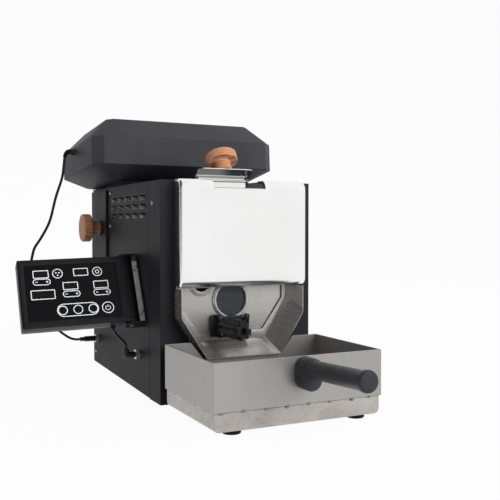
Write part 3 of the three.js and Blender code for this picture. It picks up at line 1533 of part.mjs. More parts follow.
function panelPlug() {
  const x = plugFace - panelPlugReach;
  return joined([
    rod('x', panelPlugRadius, x, plugFace, panelSocketY, panelSocketZ, smallSides),
    rod('z', panelPlugRadius, panelSocketZ, panelSocketZ + panelPlugRise, x, panelSocketY,
      smallSides),
    ball(panelPlugRadius, x, panelSocketY, panelSocketZ),
  ]);
}

// Leads: hand-chosen routes, straight for a short way where they meet their fittings
const fanLeadRoute = [
  [-132.6, 215.8, 283.8], [-135.4, 215.8, 283.7], [-138.8, 215.2, 279.5], [-142.4, 208, 266.4],
  [-147.2, 196, 250.3], [-157.1, 187, 225.1], [-166, 184, 194.2], [-175.8, 184, 175.6],
  [-183.8, 184, 163.1], [-186.4, 184, 153.9], [-188.1, 186, 141.1], [-184.6, 200, 116.1],
  [-173.4, 215, 88.7], [-156, 230, 66], [-139, 238, 51], [-127, 242.3, 43], [-119.5, 243, 41],
  [-115.3, 243, 41],
];
const panelLeadRoute = [
  [-125.3, 53.35, 80.88], [-125.3, 51.96, 78], [-123.1, 54.5, 73.4], [-117.3, 60, 67.6],
  [-110.4, 66.5, 61.6], [-105.9, 70.8, 56.5], [-104.9, 71.5, 51.8],
];

model.add(
  piece('fan_socket', sideSocket(fanSocketY, fanSocketZ), stainless()),
  piece('panel_socket', sideSocket(panelSocketY, panelSocketZ), stainless()),
  piece('fan_plug', fanPlug(), rubber()),
  piece('panel_plug', panelPlug(), rubber()),
  piece('fan_lead', tubeAlong(fanLeadRoute, leadDiameter / 2, leadSides, fanLeadSteps), rubber()),
  piece('panel_lead', tubeAlong(panelLeadRoute, leadDiameter / 2, leadSides, panelLeadSteps),
    rubber()),
);

// Rear of the body: mains inlet, cooling fan and control board
function powerInlet() {
  const flange = block(inletX - inletFlangeWidth / 2, inletX + inletFlangeWidth / 2,
    bodyDepth + gap, bodyDepth + gap + traySheet, inletZ - inletFlangeHeight / 2,
    inletZ + inletFlangeHeight / 2);
  const front = bodyDepth - inletDepth;
  const body = block(inletX - inletBodyWidth / 2, inletX + inletBodyWidth / 2, front,
    bodyDepth + gap + traySheet, inletZ - inletBodyHeight / 2, inletZ + inletBodyHeight / 2);
  const floor = bodyDepth + gap + traySheet - inletRecess;
  const recess = block(inletX - inletBodyWidth / 2 + inletWall,
    inletX + inletBodyWidth / 2 - inletWall, floor, bodyDepth + gap + traySheet + cutOver,
    inletZ - inletBodyHeight / 2 + inletWall, inletZ + inletBodyHeight / 2 - inletWall);
  let inlet = flange.add(body).subtract(recess);
  for (const [column, rise] of [[-1, -1], [0, 1], [1, -1]]) {
    const x = inletX + column * inletPinPitch;
    const z = inletZ + rise * inletPinHeight / 2;
    inlet = inlet.add(block(x - inletPinWidth / 2, x + inletPinWidth / 2, floor - inletWall / 2,
      bodyDepth - inletWall, z - inletPinHeight / 2, z + inletPinHeight / 2));
  }
  return inlet;
}

const fanRear = bodyDepth - sheet - gap;
const fanFront = fanRear - coolingFanDepth;

function fanFrame() {
  const size = coolingFanSize / 2;
  const frame = block(coolingFanX - size, coolingFanX + size, fanFront, fanRear,
    coolingFanZ - size, coolingFanZ + size);
  const bore = rod('y', coolingFanBore, fanFront - cutOver, fanRear + cutOver, coolingFanX,
    coolingFanZ);
  const reach = size - coolingArm / 2;
  const arms = joined([
    block(coolingFanX - reach, coolingFanX + reach, fanFront, fanFront + coolingArm / 2,
      coolingFanZ - coolingArm / 2, coolingFanZ + coolingArm / 2),
    block(coolingFanX - coolingArm / 2, coolingFanX + coolingArm / 2, fanFront,
      fanFront + coolingArm / 2, coolingFanZ - reach, coolingFanZ + reach),
    rod('y', coolingFanHub, fanFront, fanFront + coolingArm, coolingFanX, coolingFanZ, smallSides),
    rod('y', motorShaftRadius, fanFront, fanRear - coolingArm, coolingFanX, coolingFanZ,
      smallSides),
  ]);
  return frame.subtract(bore).add(arms);
}

function coolingImpeller() {
  const y0 = fanFront + coolingArm + gap;
  const y1 = fanRear - coolingArm;
  let wheel = rod('y', coolingFanHub, y0, y1, coolingFanX, coolingFanZ, smallSides);
  for (let i = 0; i < coolingBlades; i += 1) {
    const blade = block(-coolingArm / 4, coolingArm / 4, -(y1 - y0) / 2 + gap,
      (y1 - y0) / 2 - gap, coolingFanHub - gap, coolingFanBore - coolingTipGap);
    const pitched = new THREE.Matrix4().makeTranslation(coolingFanX, (y0 + y1) / 2, coolingFanZ)
      .multiply(new THREE.Matrix4().makeRotationY(2 * Math.PI * i / coolingBlades))
      .multiply(new THREE.Matrix4().makeRotationZ(degrees(coolingBladePitch)));
    wheel = wheel.add(moved(blade, pitched));
  }
  return wheel.subtract(rod('y', motorShaftRadius + gap, y0 - cutOver, y1 + cutOver, coolingFanX,
    coolingFanZ, smallSides));
}

function controlBoard() {
  const floor = baseHeight + sheet + gap;
  const parts = [block(boardX, boardX + boardWidth, boardY, boardY + boardLength,
    floor + boardPost, floor + boardPost + boardThickness)];
  for (const x of [boardX + boardEdge, boardX + boardWidth - boardEdge]) {
    for (const y of [boardY + boardEdge, boardY + boardLength - boardEdge]) {
      parts.push(rod('z', boardEdge / 2, floor, floor + boardPost + boardThickness / 2, x, y,
        smallSides));
    }
  }
  for (const [x0, x1, y0, y1, height] of boardPartShares) {
    parts.push(block(boardX + boardWidth * x0, boardX + boardWidth * x1,
      boardY + boardLength * y0, boardY + boardLength * y1, floor + boardPost,
      floor + boardPost + boardThickness + boardPartHeight * height));
  }
  return joined(parts);
}

model.add(
  piece('power_inlet', powerInlet(), blackPlastic()),
  piece('cooling_fan_frame', fanFrame(), blackPlastic()),
  piece('cooling_impeller', coolingImpeller(), blackPlastic()),
  piece('control_board', controlBoard(), boardGreen()),
);

// Origin: under the middle of the box that holds everything but the leads and their plugs
const onLeads = ['fan_lead', 'panel_lead', 'fan_plug', 'panel_plug'];
model.updateMatrixWorld(true);
const bounds = new THREE.Box3();
model.traverse((object) => {
  if (object.isMesh && !onLeads.includes(object.name)) {
    bounds.expandByObject(object, true);
  }
});
const origin = bounds.getCenter(new THREE.Vector3()).setZ(bounds.min.z);
model.position.sub(origin);

export default model;
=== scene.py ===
import math

import bmesh
import bpy
from mathutils import Matrix, Vector


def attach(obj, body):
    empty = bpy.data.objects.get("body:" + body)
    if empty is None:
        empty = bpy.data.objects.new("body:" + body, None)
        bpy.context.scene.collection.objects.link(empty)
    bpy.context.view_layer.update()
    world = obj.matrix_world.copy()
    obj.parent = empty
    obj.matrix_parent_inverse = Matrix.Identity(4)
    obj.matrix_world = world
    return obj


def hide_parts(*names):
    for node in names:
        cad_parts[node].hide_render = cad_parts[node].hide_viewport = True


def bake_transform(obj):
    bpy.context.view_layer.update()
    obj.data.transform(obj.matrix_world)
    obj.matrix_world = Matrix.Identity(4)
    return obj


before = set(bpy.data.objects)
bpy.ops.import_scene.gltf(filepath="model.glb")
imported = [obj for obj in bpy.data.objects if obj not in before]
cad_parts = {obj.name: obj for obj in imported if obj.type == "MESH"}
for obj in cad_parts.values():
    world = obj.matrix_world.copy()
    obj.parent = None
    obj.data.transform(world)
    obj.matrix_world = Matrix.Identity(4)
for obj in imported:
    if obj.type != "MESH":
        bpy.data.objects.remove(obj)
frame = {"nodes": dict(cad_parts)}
bpy.context.view_layer.update()
bpy.context.scene.view_settings.view_transform = "Standard"

# Lengths are in the millimetres of the part's drawing; place() turns them into the row frame
MM = 0.001
ORIGIN = Vector((0.05665323, -0.02081363, 0.0))


def place(point):
    return Vector(point) * MM + ORIGIN


def shift_turn(x, y, z, axis="X", angle=0.0):
    return Matrix.Translation((x, y, z)) @ Matrix.Rotation(math.radians(angle), 4, axis)


# The case, and the frame of the control panel
BODY_HALF, BODY_TOP, BODY_DEPTH = 90.0, 238.4, 265.6
CASE_FACE, INLET_FACE = -0.4, 267.4
PANEL_LEAN = shift_turn(-104.0, 50.4, 82.8, "X", -26.0)
PANEL = PANEL_LEAN @ shift_turn(0, 0, 0, "Z", -4.0)

# Camera at the photograph's place
CAMERA_PLACE = (-363.5, -765.7, 188.6)
CAMERA_TURN, CAMERA_DROP, CAMERA_LENS = -26.3, -1.7, 55.66
camera_data = bpy.data.cameras.new("photo_camera")
camera = bpy.data.objects.new("photo_camera", camera_data)
bpy.context.scene.collection.objects.link(camera)
camera_data.sensor_width = 36.0
camera_data.lens = CAMERA_LENS
camera_data.clip_start = 0.01
camera_data.clip_end = 50.0
camera.location = place(CAMERA_PLACE)
camera.rotation_euler = (math.radians(90.0 + CAMERA_DROP), 0.0, math.radians(CAMERA_TURN))
bpy.context.scene.camera = camera


# Mesh helpers; angles in degrees, gaps in metres
SHARP, BEVEL_SHARP, FLAT = 35.0, 38.0, 0.6
MESH_GAP, SOLID_GAP = 1e-7, 2e-6


def turns(steps, start=0.0):
    """The angles of a ring of points."""
    return [math.tau * k / steps + start for k in range(steps)]


def arc(first, last, steps):
    """The angles from first to last, both given in degrees."""
    return [math.radians(first + (last - first) * k / steps) for k in range(steps + 1)]


def circle(u, v, radius, angles):
    """The points at some angles round a centre."""
    return [(u + radius * math.cos(t), v + radius * math.sin(t)) for t in angles]


def add_rings(bm, rings, closed=False, cap=True):
    """Skins a row of rings of the same number of points."""
    rows = [[bm.verts.new(p) for p in ring] for ring in rings]
    count = len(rows[0])
    pairs = list(zip(rows, rows[1:]))
    if closed:
        pairs.append((rows[-1], rows[0]))
    for low, high in pairs:
        for i in range(count):
            j = (i + 1) % count
            bm.faces.new((low[i], low[j], high[j], high[i]))
    if cap and not closed:
        bm.faces.new(rows[0][::-1])
        bm.faces.new(rows[-1])


def add_grid(bm, grid):
    """Skins rows of points, open on all sides."""
    rows = [[bm.verts.new(p) for p in row] for row in grid]
    for low, high in zip(rows, rows[1:]):
        for i in range(len(low) - 1):
            bm.faces.new((low[i], low[i + 1], high[i + 1], high[i]))


def add_prism(bm, outline, low, high, axis):
    """A closed outline drawn out along one axis."""
    def point(a, b, t):
        return {"x": (t, a, b), "y": (a, t, b), "z": (a, b, t)}[axis]
    add_rings(bm, [[point(a, b, t) for a, b in outline] for t in (low, high)])


def add_lathe(bm, profile, matrix, steps):
    """Turns a profile of (radius, height) pairs about Z. A radius of zero closes an end."""
    rings = []
    for radius, height in profile:
        ring = circle(0, 0, radius, turns(steps)) if radius else [(0, 0)]
        rings.append([bm.verts.new(matrix @ Vector((x, y, height))) for x, y in ring])
    for low, high in zip(rings, rings[1:]):
        for i in range(steps):
            j = (i + 1) % steps
            face = [low[i % len(low)], low[j % len(low)], high[j % len(high)], high[i % len(high)]]
            bm.faces.new(list(dict.fromkeys(face)))


CURVE_STEPS = 24


def curve_points(points, count):
    """Even steps along a centripetal curve through the points, as in the part's source."""
    known = [Vector(p) for p in points]
    known = [2 * known[0] - known[1], *known, 2 * known[-1] - known[-2]]
    dense = []
    for a, b, c, d in zip(known, known[1:], known[2:], known[3:]):
        ta, tb, tc = (math.sqrt((q - p).length) for p, q in ((a, b), (b, c), (c, d)))
        slope_b = ((b - a) / ta - (c - a) / (ta + tb) + (c - b) / tb) * tb
        slope_c = ((c - b) / tb - (d - b) / (tb + tc) + (d - c) / tc) * tb
        for step in range(CURVE_STEPS):
            t = step / CURVE_STEPS
            dense.append(b + slope_b * t + (3 * (c - b) - 2 * slope_b - slope_c) * t * t
                         + (2 * (b - c) + slope_b + slope_c) * t ** 3)
    dense.append(known[-2])
    runs = [0.0]
    for p, q in zip(dense, dense[1:]):
        runs.append(runs[-1] + (q - p).length)
    even, k = [], 0
    for step in range(count + 1):
        goal = runs[-1] * step / count
        while k < len(runs) - 2 and runs[k + 1] < goal:
            k += 1
        share = (goal - runs[k]) / max(runs[k + 1] - runs[k], 1e-9)
        even.append(dense[k].lerp(dense[k + 1], share))
    return even


def add_tube(bm, path, radius, sides):
    """A round tube along a path; radius is one number or one for each point."""
    radii = radius if isinstance(radius, list) else [radius] * len(path)
    up = Vector((0.13, 0.37, 0.92))
    rings = []
    for i, point in enumerate(path):
        ahead = (path[min(i + 1, len(path) - 1)] - path[max(i - 1, 0)]).normalized()
        up = (up - ahead * up.dot(ahead)).normalized()
        side = ahead.cross(up)
        rings.append([point + (side * math.cos(t) + up * math.sin(t)) * radii[i]
                      for t in turns(sides)])
    add_rings(bm, rings)


def rectangle(x0, x1, y0, y1):
    return [(x0, y0), (x1, y0), (x1, y1), (x0, y1)]


def rounded(x0, x1, z0, z1, radius, steps=6):
    """A rectangle with round corners, as a closed outline."""
    outline = []
    for cx, cz, start in ((x1 - radius, z1 - radius, 0), (x0 + radius, z1 - radius, 90),
                          (x0 + radius, z0 + radius, 180), (x1 - radius, z0 + radius, 270)):
        outline += circle(cx, cz, radius, arc(start, start + 90, steps))
    return outline


def make_piece(bm, name, body, material, nodes=(), matrix=None, angle=SHARP,
               bevel=0.0):
    """Puts a mesh in the row frame and lets it ride on its body, in place of CAD nodes."""
    if matrix is not None:
        bm.transform(matrix)
    for vert in bm.verts:
        vert.co = place(vert.co)
    bmesh.ops.remove_doubles(bm, verts=bm.verts, dist=MESH_GAP)
    bmesh.ops.recalc_face_normals(bm, faces=bm.faces)
    mesh = bpy.data.meshes.new(name)
    bm.to_mesh(mesh)
    bm.free()
    mesh.materials.append(material)
    mesh.shade_smooth()
    mesh.set_sharp_from_angle(angle=math.radians(angle))
    obj = bpy.data.objects.new(name, mesh)
    bpy.context.scene.collection.objects.link(obj)
    if bevel:
        add_bevel(obj, bevel)
    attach(obj, body)
    if nodes:
        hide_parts(*nodes)
    return obj


def add_sheet(obj, thickness, offset=0.0):
    """Gives a surface the thickness of its sheet, in millimetres, with crisp cut edges."""
    thick = obj.modifiers.new("sheet", "SOLIDIFY")
    thick.thickness = thickness * MM
    thick.offset = offset
    obj.modifiers.new("crisp_edges", "EDGE_SPLIT").split_angle = math.radians(SHARP)


def add_bevel(obj, width):
    """Rounds the sharp edges; width is in millimetres."""
    rounding = obj.modifiers.new("edge_rounding", "BEVEL")
    rounding.width = width * MM
    rounding.segments = 2
    rounding.limit_method = "ANGLE"
    rounding.angle_limit = math.radians(BEVEL_SHARP)
    rounding.harden_normals = True


# Materials: each is built from nodes, at the scale of the real finish
class Shading:
    """The nodes of a material or of the world."""
    def __init__(self, owner, output):
        owner.use_nodes = True
        self.nodes, self.links = owner.node_tree.nodes, owner.node_tree.links
        self.nodes.clear()
        self.output = self.node(output)

    def enter(self, socket, value):
        """Links another node's output to a socket, or sets it; colours come without alpha."""
        if isinstance(value, bpy.types.NodeSocket):
            self.links.new(value, socket)
        elif socket.type == "RGBA":
            socket.default_value = (*value, 1.0)
        else:
            socket.default_value = value

    def node(self, kind, *values, **named):
        """A new node: its first inputs in order, others by name, with _ for a space."""
        made = self.nodes.new("ShaderNode" + kind)
        for socket, value in zip(made.inputs, values):
            self.enter(socket, value)
        for key, value in named.items():
            self.enter(made.inputs[key.replace("_", " ")], value)
        return made

    def joined(self, kind, first, second):
        """A Math node of two values."""
        joint = self.node("Math", first, second)
        joint.operation = kind
        return joint.outputs[0]

    def white_rays(self):
        """Two masks: rays from the camera, mirrors and glass, and rays from the camera alone."""
        path = self.node("LightPath")
        mirrors = self.joined("MAXIMUM", path.outputs["Is Glossy Ray"],
                              path.outputs["Is Transmission Ray"])
        seen = path.outputs["Is Camera Ray"]
        return self.joined("MAXIMUM", seen, mirrors), seen


class Finish(Shading):
    """The material of one surface, with patterns at the scale of metres."""
    def __init__(self, name, color, roughness, metallic=0.0, **inputs):
        self.material = bpy.data.materials.new(name)
        super().__init__(self.material, "OutputMaterial")
        self.shader = self.node("BsdfPrincipled", Base_Color=color, Roughness=roughness,
                                Metallic=metallic, **inputs)
        self.enter(self.output.inputs[0], self.shader.outputs[0])
        self.place = self.node("TexCoord").outputs["Object"]
        self.height = None

    def stretched(self, scale, turn=(0.0, 0.0, 0.0)):
        """The place on the piece, stretched by three numbers or by one for all directions."""
        scale = scale if isinstance(scale, tuple) else (scale,) * 3
        return self.node("Mapping", self.place, Scale=scale,
                         Rotation=[math.radians(a) for a in turn]).outputs[0]

    def noise(self, scale, detail=3.0, rough=0.55, distort=0.0):
        return self.node("TexNoise", self.stretched(scale), Scale=1.0, Detail=detail,
                         Roughness=rough, Distortion=distort).outputs["Fac"]

    def spread(self, value, low=0.0, high=1.0, source=(0.3, 0.7)):
        return self.node("MapRange", value, *source, low, high).outputs[0]

    def ramp(self, value, stops):
        ramp = self.node("ValToRGB", value)
        while len(ramp.color_ramp.elements) < len(stops):
            ramp.color_ramp.elements.new(0.5)
        for element, (at, color) in zip(ramp.color_ramp.elements, stops):
            element.position = at
            element.color = (*color, 1.0)
        return ramp.outputs[0]

    def mix(self, share, first, second):
        """A mix of two colours, which are inputs 6 and 7 of the node."""
        mix = self.node("Mix")
        mix.data_type = "RGBA"
        for index, value in zip((0, 6, 7), (share, first, second)):
            self.enter(mix.inputs[index], value)
        return mix.outputs[2]

    def color(self, value):
        self.enter(self.shader.inputs["Base Color"], value)

    def roughness(self, value):
        self.enter(self.shader.inputs["Roughness"], value)

    def bump(self, value, strength, distance):
        bump = self.node("Bump", Height=value, Strength=strength, Distance=distance)
        if self.height is not None:
            self.enter(bump.inputs["Normal"], self.height)
        self.height = bump.outputs[0]
        self.enter(self.shader.inputs["Normal"], self.height)


def powder_coat(name, color, light, roughness=(0.46, 0.51), grain=0.12, specular=0.06):
    """Baked powder on steel: fine orange-peel grain, faint clouds of shade and hand marks."""
    finish = Finish(name, color, 0.48, Specular_IOR_Level=specular)
    clouds = finish.noise((14, 14, 9), 4.0)
    finish.color(finish.mix(finish.spread(clouds), color, light))
    marks = finish.noise((60, 60, 25), 5.0, 0.65)
    finish.roughness(finish.spread(marks, *roughness))
    finish.bump(finish.noise(1500, 2.0), grain, 0.00012)
    finish.bump(finish.noise(420, 2.0), grain * 0.6, 0.00025)
    return finish.material


def brushed_steel(name, color, shade, roughness, streaks=(26, 26, 2400), stain=0.0,
                  clouds=(9, 9, 7), grain=0.10, metallic=0.7):
    """Stainless sheet: long fine grain, soft clouds and, where asked, heat or water stains."""
    finish = Finish(name, color, sum(roughness) / 2, metallic)
    long_grain = finish.noise(streaks, 6.0, 0.7)
    cloud = finish.noise(clouds, 4.0, 0.6, 0.4)
    base = finish.mix(finish.spread(cloud), color, shade)
    base = finish.mix(finish.spread(long_grain, 0.0, 0.22), base, shade)
    if stain:
        blots = finish.noise((38, 38, 60), 6.0, 0.7, 1.2)
        base = finish.mix(finish.spread(blots, 0.0, stain, (0.52, 0.72)), base,
                          (0.22, 0.13, 0.09))
    finish.color(base)
    finish.roughness(finish.spread(finish.noise((70, 70, 900), 4.0, 0.6), *roughness))
    finish.bump(long_grain, grain, 0.00006)
    finish.bump(finish.noise(16, 2.0), 0.10, 0.0006)
    return finish.material


def turned_wood(name):
    """Oiled beech: growth rings through the piece, short dark flecks and open pores."""
    finish = Finish(name, (0.38, 0.16, 0.085), 0.5, Specular_IOR_Level=0.2)
    rings = finish.node("TexWave", finish.stretched((40, 150, 190), (8, 12, 0)), Scale=1.0,
                        Distortion=1.6, Detail=3.0, Detail_Scale=1.4)
    rings.wave_type = "BANDS"
    rings.bands_direction = "DIAGONAL"
    tone = finish.ramp(rings.outputs["Fac"], [(0.0, (0.33, 0.135, 0.070)),
                                              (0.55, (0.46, 0.215, 0.120)),
                                              (1.0, (0.54, 0.275, 0.160))])
    flecks = finish.noise((130, 900, 1100), 3.0, 0.6, 0.3)
    tone = finish.mix(finish.spread(flecks, 0.0, 0.65, (0.56, 0.70)), tone,
                      (0.20, 0.075, 0.035))
    finish.color(tone)
    finish.roughness(finish.spread(flecks, 0.42, 0.6))
    finish.bump(flecks, 0.25, 0.0001)
    return finish.material


def lighter(color, factor):
    return tuple(c * factor for c in color)


def moulded(name, color, roughness, grain=0.12, size=1800, specular=0.3):
    """Moulded plastic or rubber with a spark-eroded texture."""
    finish = Finish(name, color, sum(roughness) / 2, Specular_IOR_Level=specular)
    cloud = finish.noise(30, 3.0)
    finish.color(finish.mix(finish.spread(cloud), color, lighter(color, 1.35)))
    finish.roughness(finish.spread(finish.noise(90, 4.0), *roughness))
    finish.bump(finish.noise(size, 2.0), grain, 0.0001)
    return finish.material


def clear_glass(name, color, smear, specular=0.3):
    """Dark glass with a smooth face and faint wiping marks."""
    finish = Finish(name, color, 0.05, Specular_IOR_Level=specular, IOR=1.5)
    wipes = finish.noise((45, 45, 160), 5.0, 0.6, 0.8)
    finish.roughness(finish.spread(wipes, 0.03, smear + 0.03))
    finish.color(finish.mix(finish.spread(wipes), color, lighter(color, 1.5)))
    return finish.material


def circuit_board(name):
    """Green board with a fine grid of tracks."""
    finish = Finish(name, (0.02, 0.11, 0.05), 0.5)
    lines = finish.node("TexBrick", finish.stretched(220), Scale=1.0,
                        Color1=(0.02, 0.12, 0.055), Color2=(0.015, 0.085, 0.04),
                        Mortar=(0.05, 0.20, 0.10))
    finish.color(lines.outputs["Color"])
    finish.bump(lines.outputs["Fac"], 0.2, 0.0001)
    return finish.material


def printed(name, color):
    """Screen-printed ink, slightly uneven."""
    finish = Finish(name, color, 0.45)
    grain = finish.noise(900, 3.0)
    finish.color(finish.mix(finish.spread(grain, 0.0, 0.25), color, (0.45, 0.46, 0.48)))
    return finish.material


CASE = powder_coat("case_powder_coat", (0.014, 0.014, 0.017), (0.022, 0.022, 0.025))
LIPS = powder_coat("louvre_powder_coat", (0.014, 0.014, 0.017), (0.020, 0.020, 0.023),
                   (0.22, 0.28), 0.03, 0.11)
BOX = powder_coat("fan_box_powder_coat", (0.036, 0.036, 0.042), (0.048, 0.048, 0.055))
HOOD = brushed_steel("hood_steel", (0.94, 0.94, 0.938), (0.87, 0.87, 0.865), (0.20, 0.28),
                     grain=0.02, metallic=1.0)
CHUTE = brushed_steel("chute_steel", (0.52, 0.505, 0.48), (0.36, 0.345, 0.325), (0.20, 0.30),
                      (60, 60, 600), 0.3, grain=0.015, metallic=0.8)
TRAY = brushed_steel("tray_steel", (0.37, 0.36, 0.345), (0.32, 0.31, 0.295), (0.30, 0.42),
                     (22, 22, 2000), 0.08)
PAN = brushed_steel("pan_steel", (0.48, 0.455, 0.43), (0.34, 0.315, 0.295), (0.25, 0.45),
                    (40, 40, 300), 0.5, (24, 24, 30))
FACE = brushed_steel("face_plate_steel", (0.47, 0.455, 0.435), (0.39, 0.375, 0.355), (0.26, 0.38),
                     (900, 60, 60), 0.3)
FLAP_SHEET = brushed_steel("flap_steel", (0.90, 0.90, 0.89), (0.80, 0.80, 0.79), (0.10, 0.18),
                           900, 0.0, 9, 0.03, 1.0)
INNER = brushed_steel("inner_sheet_steel", (0.36, 0.36, 0.36), (0.26, 0.26, 0.26), (0.34, 0.5))
DARK = brushed_steel("dark_steel", (0.10, 0.10, 0.105), (0.06, 0.06, 0.06), (0.35, 0.5))
BRASS = brushed_steel("gear_brass", (0.55, 0.40, 0.17), (0.42, 0.29, 0.11), (0.25, 0.4),
                      600)
BRIGHT = brushed_steel("bright_fastener_steel", (0.62, 0.62, 0.62), (0.45, 0.45, 0.45),
                       (0.18, 0.3), 900)
WOOD = turned_wood("turned_beech")
BLACK = moulded("black_plastic", (0.006, 0.006, 0.007), (0.28, 0.42))
GRIP = moulded("grip_plastic", (0.018, 0.018, 0.021), (0.34, 0.46), 0.05, specular=0.25)
HOUSING = moulded("panel_plastic", (0.005, 0.005, 0.006), (0.30, 0.46), specular=0.22)
SHELL = moulded("rear_shell_plastic", (0.028, 0.028, 0.031), (0.36, 0.5), specular=0.35)
RUBBER = moulded("black_rubber", (0.006, 0.006, 0.007), (0.6, 0.8), 0.2, 1200, 0.1)
JACKET = moulded("cable_jacket", (0.006, 0.006, 0.008), (0.35, 0.5), 0.08, 2500)
SIGHT = clear_glass("sight_glass", (0.015, 0.016, 0.019), 0.05)
TOUCH = clear_glass("touch_glass", (0.0015, 0.0015, 0.002), 0.07, 0.12)
LENS = clear_glass("display_window", (0.0045, 0.0035, 0.003), 0.10, 0.12)
BOARD = circuit_board("circuit_board")
INK = printed("panel_ink", (0.66, 0.67, 0.70))
SCREEN = brushed_steel("screen_steel", (0.55, 0.54, 0.52), (0.42, 0.41, 0.39), (0.3, 0.45),
                       300)
WELD = brushed_steel("weld_bead_steel", (0.34, 0.29, 0.26), (0.17, 0.11, 0.08), (0.3, 0.5),
                     300, 0.9)


# Leads, along the same routes as their solids
FAN_LEAD = [
    (-132.6, 215.8, 283.8), (-135.4, 215.8, 283.7), (-138.8, 215.2, 279.5), (-142.4, 208, 266.4),
    (-147.2, 196, 250.3), (-157.1, 187, 225.1), (-166, 184, 194.2), (-175.8, 184, 175.6),
    (-183.8, 184, 163.1), (-186.4, 184, 153.9), (-188.1, 186, 141.1), (-184.6, 200, 116.1),
    (-173.4, 215, 88.7), (-156, 230, 66), (-139, 238, 51), (-127, 242.3, 43), (-119.5, 243, 41),
    (-115.3, 243, 41),
]
PANEL_LEAD = [
    (-125.3, 53.35, 80.88), (-125.3, 51.96, 78), (-123.1, 54.5, 73.4), (-117.3, 60, 67.6),
    (-110.4, 66.5, 61.6), (-105.9, 70.8, 56.5), (-104.9, 71.5, 51.8),
]
LEAD_RADIUS = 1.6
FAN_STEPS, PANEL_STEPS = 150, 60
nodes = frame["nodes"]


def lead(name, route, count, node):
    path = curve_points(route, count)
    bm = bmesh.new()
    add_tube(bm, path, LEAD_RADIUS, 16)
    obj = make_piece(bm, name, "roaster_body", JACKET, (node,))
    obj.parent = None
    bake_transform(obj)


lead("fan_cable", FAN_LEAD, FAN_STEPS,
     "fan_lead")
lead("panel_cable", PANEL_LEAD, PANEL_STEPS,
     "panel_lead")


# CAD nodes that keep their shape: joined corners, rounded edges and a finish
def dress(material, bevel, names):
    for name in names.split():
        obj = nodes[name]
        for layer in ("custom_normal", "sharp_edge", "sharp_face"):
            if layer in obj.data.attributes:
                obj.data.attributes.remove(obj.data.attributes[layer])
        obj.data.materials.clear()
        obj.data.materials.append(material)
        obj.data.shade_smooth()
        obj.modifiers.new("join_corners", "WELD").merge_threshold = SOLID_GAP
        flat = obj.modifiers.new("whole_faces", "DECIMATE")
        flat.decimate_type = "DISSOLVE"
        flat.angle_limit = math.radians(FLAT)
        if bevel:
            add_bevel(obj, bevel)
        else:
            obj.modifiers.new("crisp_edges", "EDGE_SPLIT").split_angle = math.radians(SHARP)


dress(CASE, 0.5, "front_frame side_panel_left side_panel_right top_panel rear_panel chaff_drawer")
dress(BLACK, 0.5, "panel_bracket")
dress(BOX, 0.7, "fan_box_base fan_box_cover")
dress(FACE, 0.0, "drum_front_plate")
dress(TRAY, 0.35, "cooling_tray")
dress(PAN, 0.8, "cooling_pan")
dress(INNER, 0.0, "drum drum_shaft drum_rear_plate heat_shield chaff_chamber hopper_throat")
dress(DARK, 0.0, "base_plate discharge_door heater_element drum_motor exhaust_motor "
      "exhaust_impeller box_hinge_body box_hinge_lid")
dress(BRASS, 0.0, "motor_pinion drum_gear")
dress(BRIGHT, 0.0, "fan_socket panel_socket")
dress(RUBBER, 0.0, "foot_strip_front foot_strip_rear flue_gasket")
dress(BLACK, 0.4, "power_inlet fan_plug panel_plug")
dress(BLACK, 0.0, "cooling_fan_frame cooling_impeller")
dress(BOARD, 0.0, "control_board")
dress(SIGHT, 0.3, "sight_glass")
dress(TOUCH, 0.25, "panel_glass")


# Hood: one bent sheet with round edges into its cheeks, and a notch for the hopper
HOOD_HALF, HOOD_FRONT, HOOD_TOP, HOOD_LOW = 74.75, -20.0, 239.2, 124.2
HOOD_BEND, HOOD_ROLL, HOOD_RETURN, HOOD_EDGE = 9.2, 8.0, -9.0, 2.8
HOOD_SHEET, HOOD_FLANKS = 1.1, (-56.0, 50.0)
NOTCH_LEFT, NOTCH_RIGHT, NOTCH_LOW = -37.1, 23.9, 229.8


def hood_profile(inset):
    """The sheet's (y, z) points from its returned lower edge to its rear edge on top."""
    front, top, low = HOOD_FRONT + inset, HOOD_TOP - inset, HOOD_LOW + inset
    roll, bend = HOOD_ROLL - inset, HOOD_BEND - inset
    points = [(HOOD_RETURN, low)]
    points += circle(front + roll, low + roll, roll, arc(270, 180, 8))
    points += [(front, low + (NOTCH_LOW - low) * share) for share in (0.25, 0.5, 0.75, 1.0)]
    points += circle(front + bend, top - bend, bend, arc(180, 90, 10))
    points.append((CASE_FACE, top))
    return points


def hood():
    bm = bmesh.new()
    edge = circle(HOOD_HALF - HOOD_EDGE, HOOD_EDGE, HOOD_EDGE, arc(0, -90, 5))
    columns = [(-x, inset) for x, inset in edge]
    columns += [(x, 0.0) for x in sorted((*HOOD_FLANKS, NOTCH_LEFT, NOTCH_RIGHT))]
    columns += edge[::-1]
    grid = [[bm.verts.new((x, y, z)) for y, z in hood_profile(inset)] for x, inset in columns]
    for left, right in zip(grid, grid[1:]):
        inside = left[0].co.x > NOTCH_LEFT - 1 and right[0].co.x < NOTCH_RIGHT + 1
        for i in range(len(left) - 1):
            if not (inside and left[i].co.z > NOTCH_LOW - 0.5):
                bm.faces.new((left[i], right[i], right[i + 1], left[i + 1]))
    for cheek in (grid[0], grid[-1]):
        corner = bm.verts.new((cheek[0].co.x, cheek[-1].co.y, cheek[0].co.z))
        bm.faces.new([corner, *cheek])
    obj = make_piece(bm, "hood_shell", "roaster_body", HOOD, ("hood",), angle=30)
    add_sheet(obj, HOOD_SHEET, -1.0)


hood()


